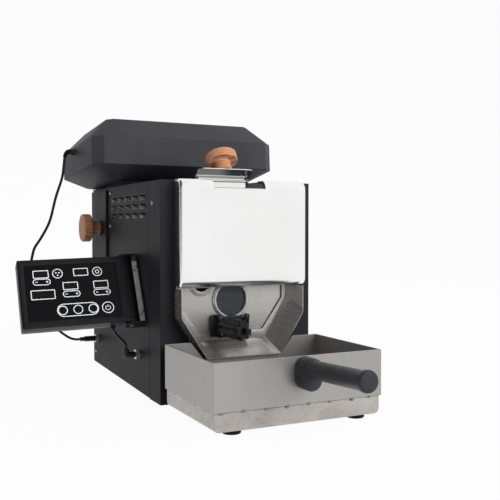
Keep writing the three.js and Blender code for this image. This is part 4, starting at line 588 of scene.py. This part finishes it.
# Feed flap: a folded sheet with round corners, its round fold and the pin behind it
FLAP_FOLD, FLAP_PIN = (29.0, 243.6), (27.3, 240.2)
FLAP = shift_turn(-6.6, *FLAP_FOLD, "X", -30.0)
FLAP_WIDE, FLAP_DEEP, FLAP_CORNER, FLAP_HALF_SHEET = 33.0, 18.5, 6.0, 0.6
FLAP_REAR, SKIRT_LONG, SKIRT_LEAN = -1.2, 36.0, 21.2
SKIRT_SPAN, ROD_SPAN, FOLD_RADIUS, ROD_RADIUS = (-35.1, 21.9), (-38.3, 25.1), 0.85, 1.4


def feed_flap():
    bm = bmesh.new()
    straight, centre = FLAP_WIDE - FLAP_CORNER, FLAP_CORNER - FLAP_DEEP
    outline = [(-FLAP_WIDE, FLAP_REAR), (-FLAP_WIDE, centre)]
    for side, start in ((-1, 180), (1, 270)):
        outline += circle(side * straight, centre, FLAP_CORNER, arc(start, start + 90, 8))
    outline.append((FLAP_WIDE, FLAP_REAR))
    add_prism(bm, outline, -FLAP_HALF_SHEET, FLAP_HALF_SHEET, "z")
    bm.transform(FLAP)
    lean = math.radians(SKIRT_LEAN)
    along = Vector((-math.sin(lean), -math.cos(lean))) * SKIRT_LONG
    across = Vector((math.cos(lean), -math.sin(lean))) * FLAP_HALF_SHEET
    fold = Vector(FLAP_FOLD)
    skirt = [fold + across, fold - across, fold + along - across, fold + along + across]
    add_prism(bm, skirt, *SKIRT_SPAN, "x")
    add_prism(bm, circle(*FLAP_FOLD, FOLD_RADIUS, turns(20)), *SKIRT_SPAN, "x")
    add_prism(bm, circle(*FLAP_PIN, ROD_RADIUS, turns(20)), *ROD_SPAN, "x")
    make_piece(bm, "feed_flap_sheet", "feed_flap", FLAP_SHEET, ("hopper_lid",), bevel=0.22)


feed_flap()


# Turned knobs, with a waist, a rounded head and a turned line
KNOB = [(0, 0), (9.4, 0), (9.8, 0.4), (9.6, 1.3), (9.1, 3.2), (8.95, 6.0), (8.95, 9.5),
        (9.1, 11.2), (9.4, 11.9), (10.0, 12.25), (16.6, 12.25), (17.1, 12.38), (17.5, 12.75),
        (17.75, 13.3), (17.8, 14.0), (17.8, 21.0), (17.7, 21.7), (17.35, 22.25), (16.8, 22.6),
        (16.0, 22.72), (8.0, 22.8), (0, 22.8)]


def knob(name, body, node, matrix):
    bm = bmesh.new()
    add_lathe(bm, KNOB, matrix, 96)
    make_piece(bm, name, body, WOOD, (node,), angle=10)


knob("drawer_knob_turned", "chaff_drawer", "chaff_drawer_knob",
     shift_turn(-93.2, 225.0, 187.5, "Y", -90.0))
knob("flap_knob_turned", "feed_flap", "hopper_knob", FLAP @ shift_turn(0.0, -10.2, 0.9))


# Sight glass ring and sampling port: a bright bead between two dark grooves, and a sleeve
PORT_X, PORT_Z, RIM_REAR = -43.0, 128.4, 1.5


def front_lathe(name, profile, x, z, nodes=(), steps=96):
    """A ring turned about an axis along +Y, at a spot on the front."""
    bm = bmesh.new()
    add_lathe(bm, [*profile, profile[0]], shift_turn(x, 0, z, "X", -90.0), steps)
    make_piece(bm, name, "roaster_body", BRIGHT, nodes, angle=50)


def rim(name, node, x, z, outer, inner, front):
    bead = inner + (outer - inner) * 0.42
    profile = [(inner, RIM_REAR), (inner, front + 1.3), (bead - 1.3, front + 1.3),
               (bead - 1.1, front + 0.5), (bead - 0.5, front + 0.05), (bead, front),
               (bead + 0.5, front + 0.05), (bead + 0.95, front + 0.5),
               (bead + 1.1, front + 1.7), (outer - 0.5, front + 1.7), (outer, front + 2.1),
               (outer, RIM_REAR)]
    front_lathe(name, profile, x, z, (node,))


rim("sight_glass_rim", "sight_glass_ring", -8.5, 109.5, 21.2, 17.75, -2.2)
rim("sampling_port_rim", "sampling_port", PORT_X, PORT_Z, 14.3, 10.0, -1.5)
front_lathe("sampling_port_sleeve",
            [(9.95, -0.9), (9.95, 9.0), (9.1, 9.0), (9.1, -0.4), (9.4, -0.9)],
            PORT_X, PORT_Z, steps=64)


# Bracket of the discharge door: a foot and lug at the left, a strip, the pin and a slim ear
LUG_LEFT, LUG_RIGHT, LUG_LOW, LUG_FRONT, LUG_SHEET = -27.5, 10.5, 70.0, -12.1, 2.0
PIN_Y, PIN_Z, PIN_RADIUS, EAR_RADIUS = -6.0, 91.0, 1.5, 2.5
DOOR_KNOB_X, DOOR_KNOB_Z, DOOR_KNOB_RADIUS = -21.5, 82.0, 10.4
LOBES, LOBE_DEPTH, LOBE_STEPS = 7, 2.6, 112


def door_bracket():
    bm = bmesh.new()
    foot = [(LUG_LEFT - 6.0, LUG_LOW), (LUG_LEFT + 2.0, LUG_LOW), (LUG_LEFT + 2.0, LUG_LOW + 21.0),
            (LUG_LEFT - 1.0, LUG_LOW + 24.0), (LUG_LEFT - 4.5, LUG_LOW + 23.0),
            (LUG_LEFT - 6.0, LUG_LOW + 21.0)]
    add_prism(bm, foot, -2.2, CASE_FACE, "y")
    lug = [(CASE_FACE, LUG_LOW), (LUG_FRONT, LUG_LOW), (LUG_FRONT, 90.0), (-9.2, 93.6),
           (CASE_FACE, 94.0)]
    add_prism(bm, lug, LUG_LEFT, LUG_LEFT + LUG_SHEET, "x")
    ear = [(CASE_FACE, LUG_LOW), (LUG_FRONT, LUG_LOW), (LUG_FRONT, 72.5), (PIN_Y, 77.0)]
    ear += circle(PIN_Y, PIN_Z, EAR_RADIUS, arc(200, 25, 7))
    ear.append((CASE_FACE, 86.0))
    add_prism(bm, ear, LUG_RIGHT - LUG_SHEET, LUG_RIGHT, "x")
    strip = rectangle(LUG_LEFT, LUG_RIGHT, LUG_FRONT, CASE_FACE)
    add_prism(bm, strip, LUG_LOW, LUG_LOW + 2.5, "z")
    add_prism(bm, circle(PIN_Y, PIN_Z, PIN_RADIUS, turns(20)), LUG_LEFT, LUG_RIGHT, "x")
    make_piece(bm, "door_bracket", "roaster_body", GRIP, ("discharge_bracket",),
               bevel=0.25)


door_bracket()


def fluted_knob():
    """Knob of the discharge door; each station is (y, size, depth of the flutes)."""
    bm = bmesh.new()
    stations = [(-15.0, 0.86, 0.75), (-15.6, 0.95, 1.0), (-17.0, 1.0, 1.0), (-30.0, 0.985, 1.0),
                (-44.0, 0.975, 1.0), (-52.0, 0.97, 1.0), (-56.4, 0.955, 1.05), (-58.2, 0.92, 1.15),
                (-59.0, 0.84, 1.25)]
    rings = []
    for y, size, cut in stations:
        ring = []
        for t in turns(LOBE_STEPS):
            wave = 0.5 - 0.5 * math.cos(LOBES * t)
            radius = DOOR_KNOB_RADIUS * size - LOBE_DEPTH * cut * wave ** 1.6
            ring.append((DOOR_KNOB_X + radius * math.cos(t), y,
                         DOOR_KNOB_Z + radius * math.sin(t)))
        rings.append(ring)
    for radius, y in ((5.2, -59.0), (4.6, -58.4), (3.6, -58.4), (3.4, -57.8), (3.4, -53.0)):
        rings.append([(x, y, z) for x, z in circle(DOOR_KNOB_X, DOOR_KNOB_Z, radius,
                                                   turns(LOBE_STEPS))])
    add_rings(bm, rings)
    make_piece(bm, "fluted_knob", "discharge_door", BLACK, ("discharge_knob",),
               angle=42)


fluted_knob()


# Chute: a flared trough with soft corners and a pressed floor
CHUTE_REAR = [(-73.5, 123.6), (-73.5, 94.0), (-56.0, 66.0), (33.0, 66.0), (59.5, 111.0),
              (59.5, 123.6)]
CHUTE_FRONT = [(-73.5, 123.6), (-73.5, 94.0), (-45.0, 49.5), (43.0, 49.5), (70.5, 94.0),
               (70.5, 123.6)]
CHUTE_OUT, CHUTE_SHEET, CHUTE_AXIS = -20.9, 1.15, (-7.0, 100.0)
FLOOR_PRESS, CORNER_PULL, CORNER_SOFT = 1.2, 0.45, 0.035
PRESS_LEFT, PRESS_RIGHT, PRESS_EDGE = 2.11, 2.875, 0.07


def between(first, second, share):
    return [a + (b - a) * share for a, b in zip(first, second)]


def chute_point(corner, share):
    """A point of the trough: corner 2.5 is mid floor, and share runs from rear to front."""
    low = min(int(corner), 4)
    part = corner - low
    x, z = between(between(CHUTE_REAR[low], CHUTE_REAR[low + 1], part),
                   between(CHUTE_FRONT[low], CHUTE_FRONT[low + 1], part), share)
    return x, CASE_FACE + (CHUTE_OUT - CASE_FACE) * share, z


def chute():
    bm = bmesh.new()
    stops = []
    for corner in range(5):
        inner = (0.105, 0.12, 0.5, 0.865, 0.88) if corner == 2 else (0.3, 0.7)
        stops += [corner + part for part in (CORNER_SOFT, *inner, 1 - CORNER_SOFT)]
        stops.append(corner + 1.0)
    stops[0] = 0.0  # the open ends have no soft corner
    del stops[-2]
    grid = []
    for stop in stops:
        row = []
        for share in (0.0, 0.05, 0.10, 0.3, 0.5, 0.7, 0.90, 0.95, 1.0):
            x, y, z = chute_point(stop, share)
            if PRESS_LEFT < stop < PRESS_RIGHT and PRESS_EDGE < share < 1 - PRESS_EDGE:
                z -= FLOOR_PRESS
            if stop in (1.0, 2.0, 3.0, 4.0):
                pull = (Vector(CHUTE_AXIS) - Vector((x, z))).normalized() * CORNER_PULL
                x, z = x + pull.x, z + pull.y
            row.append((x, y, z))
        grid.append(row)
    add_grid(bm, grid)
    obj = make_piece(bm, "chute_trough", "roaster_body", CHUTE, ("discharge_chute",), angle=38)
    add_sheet(obj, CHUTE_SHEET)


chute()


# Flange that carries the chute: a flat band from the window in the case to the trough
WINDOW = [(-71.5, 123.6), (-71.5, 109.9), (-46.95, 75.0), (29.95, 75.0), (54.5, 109.9),
          (54.5, 123.6)]
FLANGE_SHEET = 0.3


def chute_flange():
    bm = bmesh.new()
    add_grid(bm, [[(x, y, z) for x, z in (between(a, b, share) for a, b in zip(WINDOW, CHUTE_REAR))]
                  for share, y in ((0.0, -0.25), (0.06, -0.5), (0.94, -0.5), (1.0, -0.35))])
    obj = make_piece(bm, "chute_flange", "roaster_body", FACE, angle=60)
    add_sheet(obj, FLANGE_SHEET)


chute_flange()


# Tack welds of the tray and the chute, and the seams in the tray's front corners
TRAY_FRONT, TRAY_LEFT, TRAY_RIGHT = -139.3, -89.6, 90.4
SEAM_LOW, SEAM_STEP, SEAM_COUNT, SEAM_RADIUS = 22.6, 1.1, 41, 0.52


def facing(x, y, z, direction):
    """A frame at a spot with its Z axis in a direction."""
    turn = Vector(direction).to_track_quat("Z", "Y").to_matrix().to_4x4()
    return Matrix.Translation((x, y, z)) @ turn


def blob(bm, spot, radius, seed, flat=0.55, direction=(0, -1, 0)):
    """A small uneven weld bead that lies against a sheet."""
    matrix = facing(*spot, direction) @ Matrix.Diagonal((1.25, 1.0, flat, 1.0))
    made = bmesh.ops.create_icosphere(bm, subdivisions=2, radius=radius, matrix=matrix)
    for vert in made["verts"]:
        p = vert.co
        wave = math.sin(p.x * 2.1 + seed) * math.cos(p.z * 2.7 - seed * 0.7)
        vert.co += (p - Vector(spot)) * 0.18 * wave


def tack_welds():
    bm = bmesh.new()
    for i, x in enumerate((-82.0, -60.0, -37.0, -14.5, 8.5, 32.0, 57.0, 77.0)):
        blob(bm, (x, TRAY_FRONT, 21.4 + 0.5 * math.sin(i * 1.9)),
             1.5 + 0.25 * math.sin(i * 2.3), i)
    for i, y in enumerate((-119.0, -92.0, -66.0, -40.0)):
        blob(bm, (TRAY_LEFT, y, 21.5), 1.0, i + 11, 0.5, (-1, 0, 0))
        blob(bm, (TRAY_RIGHT, y, 21.5), 1.0, i + 17, 0.5, (1, 0, 0))
    make_piece(bm, "tray_tack_welds", "cooling_tray", WELD, angle=80)
    bm = bmesh.new()
    for i, x in enumerate((-48.0, -41.0, -30.0, 22.0, 30.0)):
        blob(bm, (x, -1.3, 65.8), 1.1 + 0.2 * math.sin(i * 3.1), i + 4, 0.5)
    make_piece(bm, "chute_tack_welds", "roaster_body", WELD, angle=80)
    bm = bmesh.new()
    for x in (TRAY_LEFT - 0.3, TRAY_RIGHT + 0.3):
        path = [Vector((x + 0.12 * math.sin(k * 1.7), TRAY_FRONT + 0.2, SEAM_LOW + k * SEAM_STEP))
                for k in range(SEAM_COUNT)]
        radii = [SEAM_RADIUS + 0.12 * math.sin(k * 2.4) for k in range(SEAM_COUNT)]
        add_tube(bm, path, radii, 10)
    make_piece(bm, "tray_corner_seams", "cooling_tray", TRAY, angle=80)


tack_welds()


# Control panel: front shell with a raised frame, rear shell, barrel and dark joint between them
PANEL_LONG, PANEL_HIGH = 117.6, 77.7
GLASS_LEFT, GLASS_RIGHT, GLASS_LOW, GLASS_HIGH = -110.7, -12.7, 7.15, 70.55
FRAME_RISE, FRAME_SLOPE = 0.8, 2.4


def frame_front(x, y):
    """Frame height in front of the housing: it runs out into the barrel at the right."""
    return y + FRAME_RISE * min(max((x - GLASS_RIGHT) / -GLASS_RIGHT, 0.0), 1.0)


def control_panel():
    bm = bmesh.new()
    rings = []
    for inset, y in ((0.0, -4.6), (0.0, -7.9), (0.3, -8.6), (1.0, -9.1), (2.0, -9.3)):
        outline = rounded(-PANEL_LONG + inset, 0.0, inset, PANEL_HIGH - inset, 1.6)
        rings.append([(x, frame_front(x, y) if y < -8 else y, z) for x, z in outline])
    for wide, y in ((FRAME_SLOPE, -9.3), (0.15, -8.62), (0.15, -6.9)):
        outline = rounded(GLASS_LEFT - wide, GLASS_RIGHT + wide, GLASS_LOW - wide,
                          GLASS_HIGH + wide, 0.5 + wide * 0.4)
        rings.append([(x, y, z) for x, z in outline])
    add_rings(bm, rings)
    barrel = [(0.0, 4.0), (2.3, 4.0), (2.3, 0.0), (7.8, 0.0), (8.35, 0.25), (8.5, 0.8),
              (8.5, PANEL_HIGH - 0.8), (8.35, PANEL_HIGH - 0.25), (7.8, PANEL_HIGH),
              (2.3, PANEL_HIGH), (2.3, PANEL_HIGH - 4.0), (0.0, PANEL_HIGH - 4.0)]
    add_lathe(bm, barrel, Matrix.Identity(4), 72)
    make_piece(bm, "panel_front_shell", "control_panel", HOUSING, ("panel_housing",),
               PANEL, 40)


control_panel()


def panel_slab(name, material, right, corner, steps):
    """A plate behind the front shell; each step is (inset, y)."""
    bm = bmesh.new()
    add_rings(bm, [[(x, y, z) for x, z in rounded(-PANEL_LONG + inset, right - inset, inset,
                                                  PANEL_HIGH - inset, corner)]
                   for inset, y in steps])
    make_piece(bm, name, "control_panel", material, (), PANEL, 40)


panel_slab("panel_rear_shell", SHELL, -9.4, 1.6,
           ((0.3, -3.9), (0.0, -3.4), (0.0, 7.2), (0.3, 8.0), (1.1, 8.5)))
panel_slab("panel_joint", RUBBER, -8.0, 1.2, ((1.0, -5.4), (1.0, -3.2)))


# Printed graphics and display windows on the touch glass: frames, keys and plain signs only
GLASS_FACE = -8.5
INK_ROOT, INK_RISE, LENS_RISE = 0.1, 0.07, 0.03
LINE = 0.95


def on_glass(outline, rise):
    """An outline from the glass's lower left corner, in the panel's frame."""
    return [(GLASS_LEFT + u, GLASS_FACE - rise, GLASS_LOW + v) for u, v in outline]


def ribbon(bm, outer, inner):
    """A thin raised band between two closed outlines of the same count."""
    add_rings(bm, [on_glass(outer, -INK_ROOT), on_glass(outer, INK_RISE),
                   on_glass(inner, INK_RISE), on_glass(inner, -INK_ROOT)], closed=True)


def patch(bm, outline, rise=INK_RISE):
    """A thin raised patch within a closed outline."""
    add_rings(bm, [on_glass(outline, -INK_ROOT), on_glass(outline, rise)])


def pad(u, v, half_u, half_v, corner=0.2, steps=2):
    return rounded(u - half_u, u + half_u, v - half_v, v + half_v, corner, steps)


def key_shape(u, v, width, height, corner):
    """The outer and inner outline of a line round a key or display."""
    return [pad(u, v, width / 2 - m, height / 2 - m, max(corner - m, 0.2), 7)
            for m in (0.0, LINE)]


DISPLAYS = ((16.9, 53.1, 16.6, 9.2), (59.5, 53.6, 16.2, 9.0), (46.9, 38.1, 16.4, 9.0),
            (79.8, 37.9, 16.4, 9.0), (17.4, 29.7, 25.4, 10.9))
PAIRS = ((17.3, 44.3), (47.3, 28.9), (80.0, 28.9))
PAIR_WIDE, PAIR_HIGH = 18.8, 7.5
SPIN_KEY, RING_KEY, POWER_KEY = (34.6, 53.1, 5.6), (77.5, 53.2, 5.5), (84.3, 10.6, 6.6)
KEYS = (SPIN_KEY, RING_KEY, POWER_KEY, (36.0, 10.6, 5.2), (52.3, 10.6, 5.2), (68.4, 10.6, 5.2))
KEY_GROUP = (52.2, 10.6, 44.3, 14.8)


def panel_graphics():
    ink, lens = bmesh.new(), bmesh.new()
    for u, v, width, height in DISPLAYS:
        ribbon(ink, *key_shape(u, v, width, height, 1.0))
        patch(lens, pad(u, v, width / 2 - 2 * LINE, height / 2 - 2 * LINE, 0.4), LENS_RISE)
    for u, v in PAIRS:
        ribbon(ink, *key_shape(u, v, PAIR_WIDE, PAIR_HIGH, PAIR_HIGH / 2 - 0.05))
        # a minus sign, and a plus sign in two bars
        patch(ink, pad(u - 5.4, v, 1.2, 0.4))
        patch(ink, pad(u + 5.6, v, 1.3, 0.45))
        patch(ink, pad(u + 5.6, v, 0.45, 1.3), INK_RISE + 0.01)
    ribbon(ink, *key_shape(*KEY_GROUP, KEY_GROUP[3] / 2 - 0.1))
    for u, v, radius in KEYS:
        ribbon(ink, *(circle(u, v, radius - m, turns(40)) for m in (0.0, LINE)))
    # three dots, a ring and a power sign
    u, v, _ = SPIN_KEY
    for dot in circle(u, v, 1.9, turns(3, 0.5)):
        patch(ink, circle(*dot, 0.9, turns(12)))
    u, v, _ = RING_KEY
    ribbon(ink, circle(u, v, 2.4, turns(24)), circle(u, v, 1.5, turns(24)))
    u, v, _ = POWER_KEY
    patch(ink, circle(u, v - 0.2, 3.0, arc(125, 415, 16))
          + circle(u, v - 0.2, 2.2, arc(415, 125, 16)))
    patch(ink, pad(u, v + 1.8, 0.4, 1.4))
    make_piece(ink, "panel_graphics", "control_panel", INK, (), PANEL)
    make_piece(lens, "panel_displays", "control_panel", LENS, (), PANEL)


panel_graphics()


# Handle: a block with round ends, a turned grip with a collar and an end cap
BLOCK_LEFT, BLOCK_RIGHT, BLOCK_LOW, BLOCK_HIGH, BLOCK_ROUND = -7.5, 13.5, 36.5, 67.5, 10.49
BLOCK_STEPS = ((0.8, -139.8), (0.0, -140.5), (0.0, -154.3), (0.35, -155.2), (1.2, -155.8))
GRIP_PROFILE = [(0, 0), (9.1, 0), (9.75, 0.25), (10.0, 0.8), (10.0, 1.6), (9.75, 2.15), (9.2, 2.4),
                (8.85, 2.55), (8.8, 3.2), (8.8, 30), (8.8, 56), (8.8, 82.4), (8.9, 82.9),
                (9.5, 83.1), (9.8, 83.5), (9.8, 86.4), (9.6, 87.5), (9.0, 88.4), (8.0, 88.85),
                (3.0, 89.0), (0, 89.0)]


def handle():
    bm = bmesh.new()
    add_rings(bm, [[(x, y, z) for x, z in rounded(
        BLOCK_LEFT + inset, BLOCK_RIGHT - inset, BLOCK_LOW + inset, BLOCK_HIGH - inset,
        BLOCK_ROUND - inset, 14)] for inset, y in BLOCK_STEPS])
    make_piece(bm, "handle_mount", "cooling_tray", GRIP, ("handle_block",),
               angle=48)
    bm = bmesh.new()
    add_lathe(bm, GRIP_PROFILE, shift_turn(3.0, -156.62, 57.2, "X", 87.0), 80)
    make_piece(bm, "turned_grip", "cooling_tray", GRIP, ("handle_grip",),
               angle=50)


handle()


# Tray screen with fine round holes, and the pan's turned feet
SCREEN_LEFT, SCREEN_RIGHT, SCREEN_FRONT, SCREEN_REAR = -88.5, 89.3, -137.7, -16.6
SCREEN_Z, SCREEN_SHEET, SCREEN_RIM = 23.9, 0.9, 3.5
SCREEN_COLUMNS, SCREEN_ROWS = 29, 20
HOLE_RADIUS, HOLE_SIDES = 1.55, 12
FOOT_PROFILE = [(0, 0), (7.4, 0), (8.3, 0.25), (8.85, 0.9), (9.0, 1.8), (8.9, 3.0), (8.5, 3.6),
                (0, 3.6)]


def square_point(turn, half_x, half_y):
    """The point of a cell's edge at an angle."""
    x, y = math.cos(turn), math.sin(turn)
    reach = 1.0 / max(abs(x), abs(y))
    return half_x * x * reach, half_y * y * reach


def tray_screen():
    bm = bmesh.new()
    cell_x = (SCREEN_RIGHT - SCREEN_LEFT - 2 * SCREEN_RIM) / SCREEN_COLUMNS
    cell_y = (SCREEN_REAR - SCREEN_FRONT - 2 * SCREEN_RIM) / SCREEN_ROWS
    around = turns(HOLE_SIDES, math.pi / 4)
    square = [square_point(t, cell_x / 2, cell_y / 2) for t in around]
    hole = circle(0, 0, HOLE_RADIUS, around)
    for column in range(SCREEN_COLUMNS):
        for row in range(SCREEN_ROWS):
            cx = SCREEN_LEFT + SCREEN_RIM + (column + 0.5) * cell_x
            cy = SCREEN_FRONT + SCREEN_RIM + (row + 0.5) * cell_y
            add_rings(bm, [[(cx + x, cy + y, SCREEN_Z) for x, y in ring]
                           for ring in (square, hole)], cap=False)
    add_rings(bm, [[(x, y, SCREEN_Z) for x, y in rectangle(SCREEN_LEFT + m, SCREEN_RIGHT - m,
                                                           SCREEN_FRONT + m, SCREEN_REAR - m)]
                   for m in (0.0, SCREEN_RIM)], cap=False)
    obj = make_piece(bm, "fine_tray_screen", "cooling_tray", SCREEN, ("tray_screen",))
    add_sheet(obj, SCREEN_SHEET)


tray_screen()

for end, foot_y in (("front", -128.0), ("rear", -26.3)):
    for side, foot_x in (("left", -67.3), ("right", 68.1)):
        foot = bmesh.new()
        add_lathe(foot, FOOT_PROFILE, shift_turn(foot_x, foot_y, 0.0), 48)
        make_piece(foot, f"foot_pad_{end}_{side}", "cooling_tray", RUBBER,
                   (f"pan_foot_{end}_{side}",), angle=50)


# Pan-head screws: steps of (size, height) in shares of the radius; a size of 0 is the recess
HEAD_STEPS = ((0.98, -0.1), (1.0, 0.06), (0.97, 0.2), (0.86, 0.33), (0.68, 0.41), (0, 0.44),
              (0, 0.16))
CROSS_LONG, CROSS_HALF = 0.52, 0.15
SCREW_SIDES = 32


def cross(turn):
    """How far the recess reaches from the middle of the head at an angle."""
    fold = math.radians(abs((math.degrees(turn) + 45) % 90 - 45))
    return min(CROSS_LONG / math.cos(fold), CROSS_HALF / max(math.sin(fold), 1e-4))


def screw(bm, spot, direction, radius, base=Matrix.Identity(4)):
    matrix = base @ facing(*spot, direction) @ Matrix.Rotation(0.35 * sum(spot), 4, "Z")
    rings = []
    for size, height in HEAD_STEPS:
        reaches = [(t, size or cross(t)) for t in turns(SCREW_SIDES)]
        rings.append([matrix @ (Vector((reach * math.cos(t), reach * math.sin(t), height))
                                * radius) for t, reach in reaches])
    add_rings(bm, rings)


def case_screws():
    bm = bmesh.new()
    flank = [(24.8, 214.4), (255.0, 22.0), (184.3, 190.0), (184.3, 231.0)]
    for side, spots in ((-1, flank), (1, [*flank, (255.0, 228.0)])):
        for y, z in spots:
            screw(bm, (side * BODY_HALF, y, z), (side, 0, 0), 2.0)
    rear = [((x, BODY_DEPTH, z), 2.3) for x in (-78.0, 0.0, 78.0) for z in (20.0, 228.0)]
    rear += [((x, BODY_DEPTH, z), 2.1) for x in (29.0, 61.0) for z in (30.0, 62.0)]
    rear += [((x, INLET_FACE, 42.0), 1.5) for x in (-65.4, -38.6)]
    for spot, radius in rear:
        screw(bm, spot, (0, 1, 0), radius)
    for x in (-78.0, 78.0):
        for y in (46.0, 112.0):
            screw(bm, (x, y, BODY_TOP), (0, 0, 1), 2.3)
    make_piece(bm, "case_screws", "roaster_body", BRIGHT, angle=40)


case_screws()


# Pressed louvres: below each slit a lip bulges out, with a straight edge and tapering ends
LOUVRE_FRONT, LOUVRE_TOP, LOUVRE_WIDE, LOUVRE_HIGH, LOUVRE_OUT = 46.1, 224.0, 21.8, 4.1, 2.3
LOUVRE_ACROSS, LOUVRE_DOWN, LOUVRE_DROP = 27.4, 9.8, 5.6
LIP_GAP, LIP_SHEET, LIP_COLUMNS, LIP_ROWS = 0.05, 0.5, 12, 5


def louvre_lips(name, side):
    bm = bmesh.new()
    for column in range(5):
        for row in range(3):
            front = LOUVRE_FRONT + column * LOUVRE_ACROSS
            low = LOUVRE_TOP - row * LOUVRE_DOWN - LOUVRE_DROP
            grid = []
            for i in range(LIP_COLUMNS + 1):
                along = i / LIP_COLUMNS
                swell = LOUVRE_OUT * math.sin(math.pi * along) if 0 < i < LIP_COLUMNS else 0.0
                line = []
                for j in range(LIP_ROWS + 1):
                    rise = j / LIP_ROWS
                    out = LIP_GAP + swell * math.sin(rise * math.pi / 2) ** 1.2
                    line.append((side * (BODY_HALF + out), front + LOUVRE_WIDE * along,
                                 low + LOUVRE_HIGH * rise))
                grid.append(line)
            add_grid(bm, grid)
    obj = make_piece(bm, name, "roaster_body", LIPS, (), angle=60)
    add_sheet(obj, LIP_SHEET)


louvre_lips("louvres_left", -1)
louvre_lips("louvres_right", 1)


# Strain reliefs of the leads: ribbed boots that narrow along the lead
def boot(name, body, route, count, spans, radius, taper, rib):
    path = curve_points(route, count)
    dense = [path[i].lerp(path[i + 1], k / 4) for i in range(spans) for k in range(4)]
    bm = bmesh.new()
    add_tube(bm, dense, [radius - taper * k + (rib if k % 4 < 2 else 0.0)
                         for k in range(4 * spans)], 20)
    make_piece(bm, name, body, RUBBER, (), angle=50)


boot("fan_lead_boot", "fan_box", FAN_LEAD, FAN_STEPS, 6, 3.0, 0.045, 0.28)
boot("panel_lead_boot", "control_panel", PANEL_LEAD, PANEL_STEPS, 5, 2.7, 0.035, 0.22)


# Blades in the inlet, and the screws of the swivel's bracket and pin
def small_trim():
    bm = bmesh.new()
    for x, z in ((-59.0, 40.0), (-52.0, 44.0), (-45.0, 40.0)):
        add_prism(bm, rectangle(x - 1.1, x + 1.1, 254.0, 263.9), z - 2.1, z + 2.1, "z")
    make_piece(bm, "inlet_blades", "roaster_body", BRIGHT, bevel=0.3)
    bm = bmesh.new()
    for y in (-5.0, 5.0):
        for z in (12.0, 65.7):
            screw(bm, (12.3, y, z), (-1, 0, 0), 1.6, PANEL_LEAN)
    screw(bm, (0.0, 0.0, -2.3), (0, 0, -1), 3.0, PANEL_LEAN)
    screw(bm, (0.0, 0.0, PANEL_HIGH + 2.3), (0, 0, 1), 3.0, PANEL_LEAN)
    make_piece(bm, "bracket_screws", "roaster_body", DARK, (), angle=40)


small_trim()


# Floor, backdrop and studio light; lengths here are in metres of the row frame
PAPER_GLOW = 0.95
SKY_SIDE = (-0.80, -0.20, 0.56)
SKY_LOW, SKY_HIGH, SKY_DIM = 0.35, 0.80, 0.04
SKY_FILL, FILL_COLOR, WHITE = 0.52, (0.90, 0.92, 0.95), (1.0, 1.0, 1.0)
FLOOR_HALF, FLOOR_FRONT, FLOOR_REAR, FLOOR_DROP = 4.0, -3.0, 1.6, 0.0002
SWEEP_RADIUS, WALL_TOP = 0.9, 3.4


def studio_floor():
    sweep = [(FLOOR_FRONT, 0.0),
             *circle(FLOOR_REAR, SWEEP_RADIUS, SWEEP_RADIUS, arc(-90, 0, 12)),
             (FLOOR_REAR + SWEEP_RADIUS, WALL_TOP)]
    bm = bmesh.new()
    add_grid(bm, [[(x, y, z - FLOOR_DROP) for x in (-FLOOR_HALF, FLOOR_HALF)] for y, z in sweep])
    mesh = bpy.data.meshes.new("studio_floor")
    bm.to_mesh(mesh)
    bm.free()
    mesh.shade_smooth()
    floor = bpy.data.objects.new("studio_floor", mesh)
    bpy.context.scene.collection.objects.link(floor)
    paper = Finish("studio_paper", (0.66, 0.66, 0.66), 0.9)
    paper.color(paper.mix(paper.spread(paper.noise(3, 2.0)), (0.67, 0.67, 0.67),
                          (0.65, 0.65, 0.65)))
    rays, _ = paper.white_rays()
    blend = paper.node("MixShader", paper.joined("MULTIPLY", rays, PAPER_GLOW),
                       paper.shader.outputs[0], paper.node("Emission", WHITE).outputs[0])
    paper.enter(paper.output.inputs[0], blend.outputs[0])
    mesh.materials.append(paper.material)


def studio_sky():
    world = bpy.data.worlds.new("studio")
    bpy.context.scene.world = world
    sky = Shading(world, "OutputWorld")
    fill = sky.node("Background", FILL_COLOR, SKY_FILL)
    rays, seen = sky.white_rays()
    toward = sky.node("VectorMath", sky.node("TexCoord").outputs["Generated"], SKY_SIDE)
    toward.operation = "DOT_PRODUCT"
    ceiling = sky.node("MapRange", toward.outputs["Value"], SKY_LOW, SKY_HIGH, 1.0, SKY_DIM)
    white = sky.node("Background", WHITE, sky.joined("MAXIMUM", seen, ceiling.outputs[0]))
    choice = sky.node("MixShader", rays, fill.outputs[0], white.outputs[0])
    sky.enter(sky.output.inputs[0], choice.outputs[0])


def softbox(name, spot, aim, size, power):
    data = bpy.data.lights.new(name, "AREA")
    data.shape = "RECTANGLE"
    data.size, data.size_y = size
    data.energy = power
    light = bpy.data.objects.new(name, data)
    bpy.context.scene.collection.objects.link(light)
    light.location = spot
    light.rotation_euler = (Vector(aim) - Vector(spot)).to_track_quat("-Z", "Y").to_euler()
    light.visible_glossy = False


studio_floor()
studio_sky()
softbox("key_light", (0.9, -2.0, 0.85), (0.0, -0.1, 0.15), (1.5, 1.3), 60)
softbox("left_light", (-1.9, -0.5, 1.0), (0.0, 0.0, 0.15), (1.2, 1.2), 5)
softbox("top_light", (0.1, -0.3, 2.0), (0.0, 0.0, 0.0), (1.8, 1.8), 2)
softbox("back_light", (0.8, 1.5, 1.4), (0.0, 0.0, 0.2), (1.2, 1.0), 12)
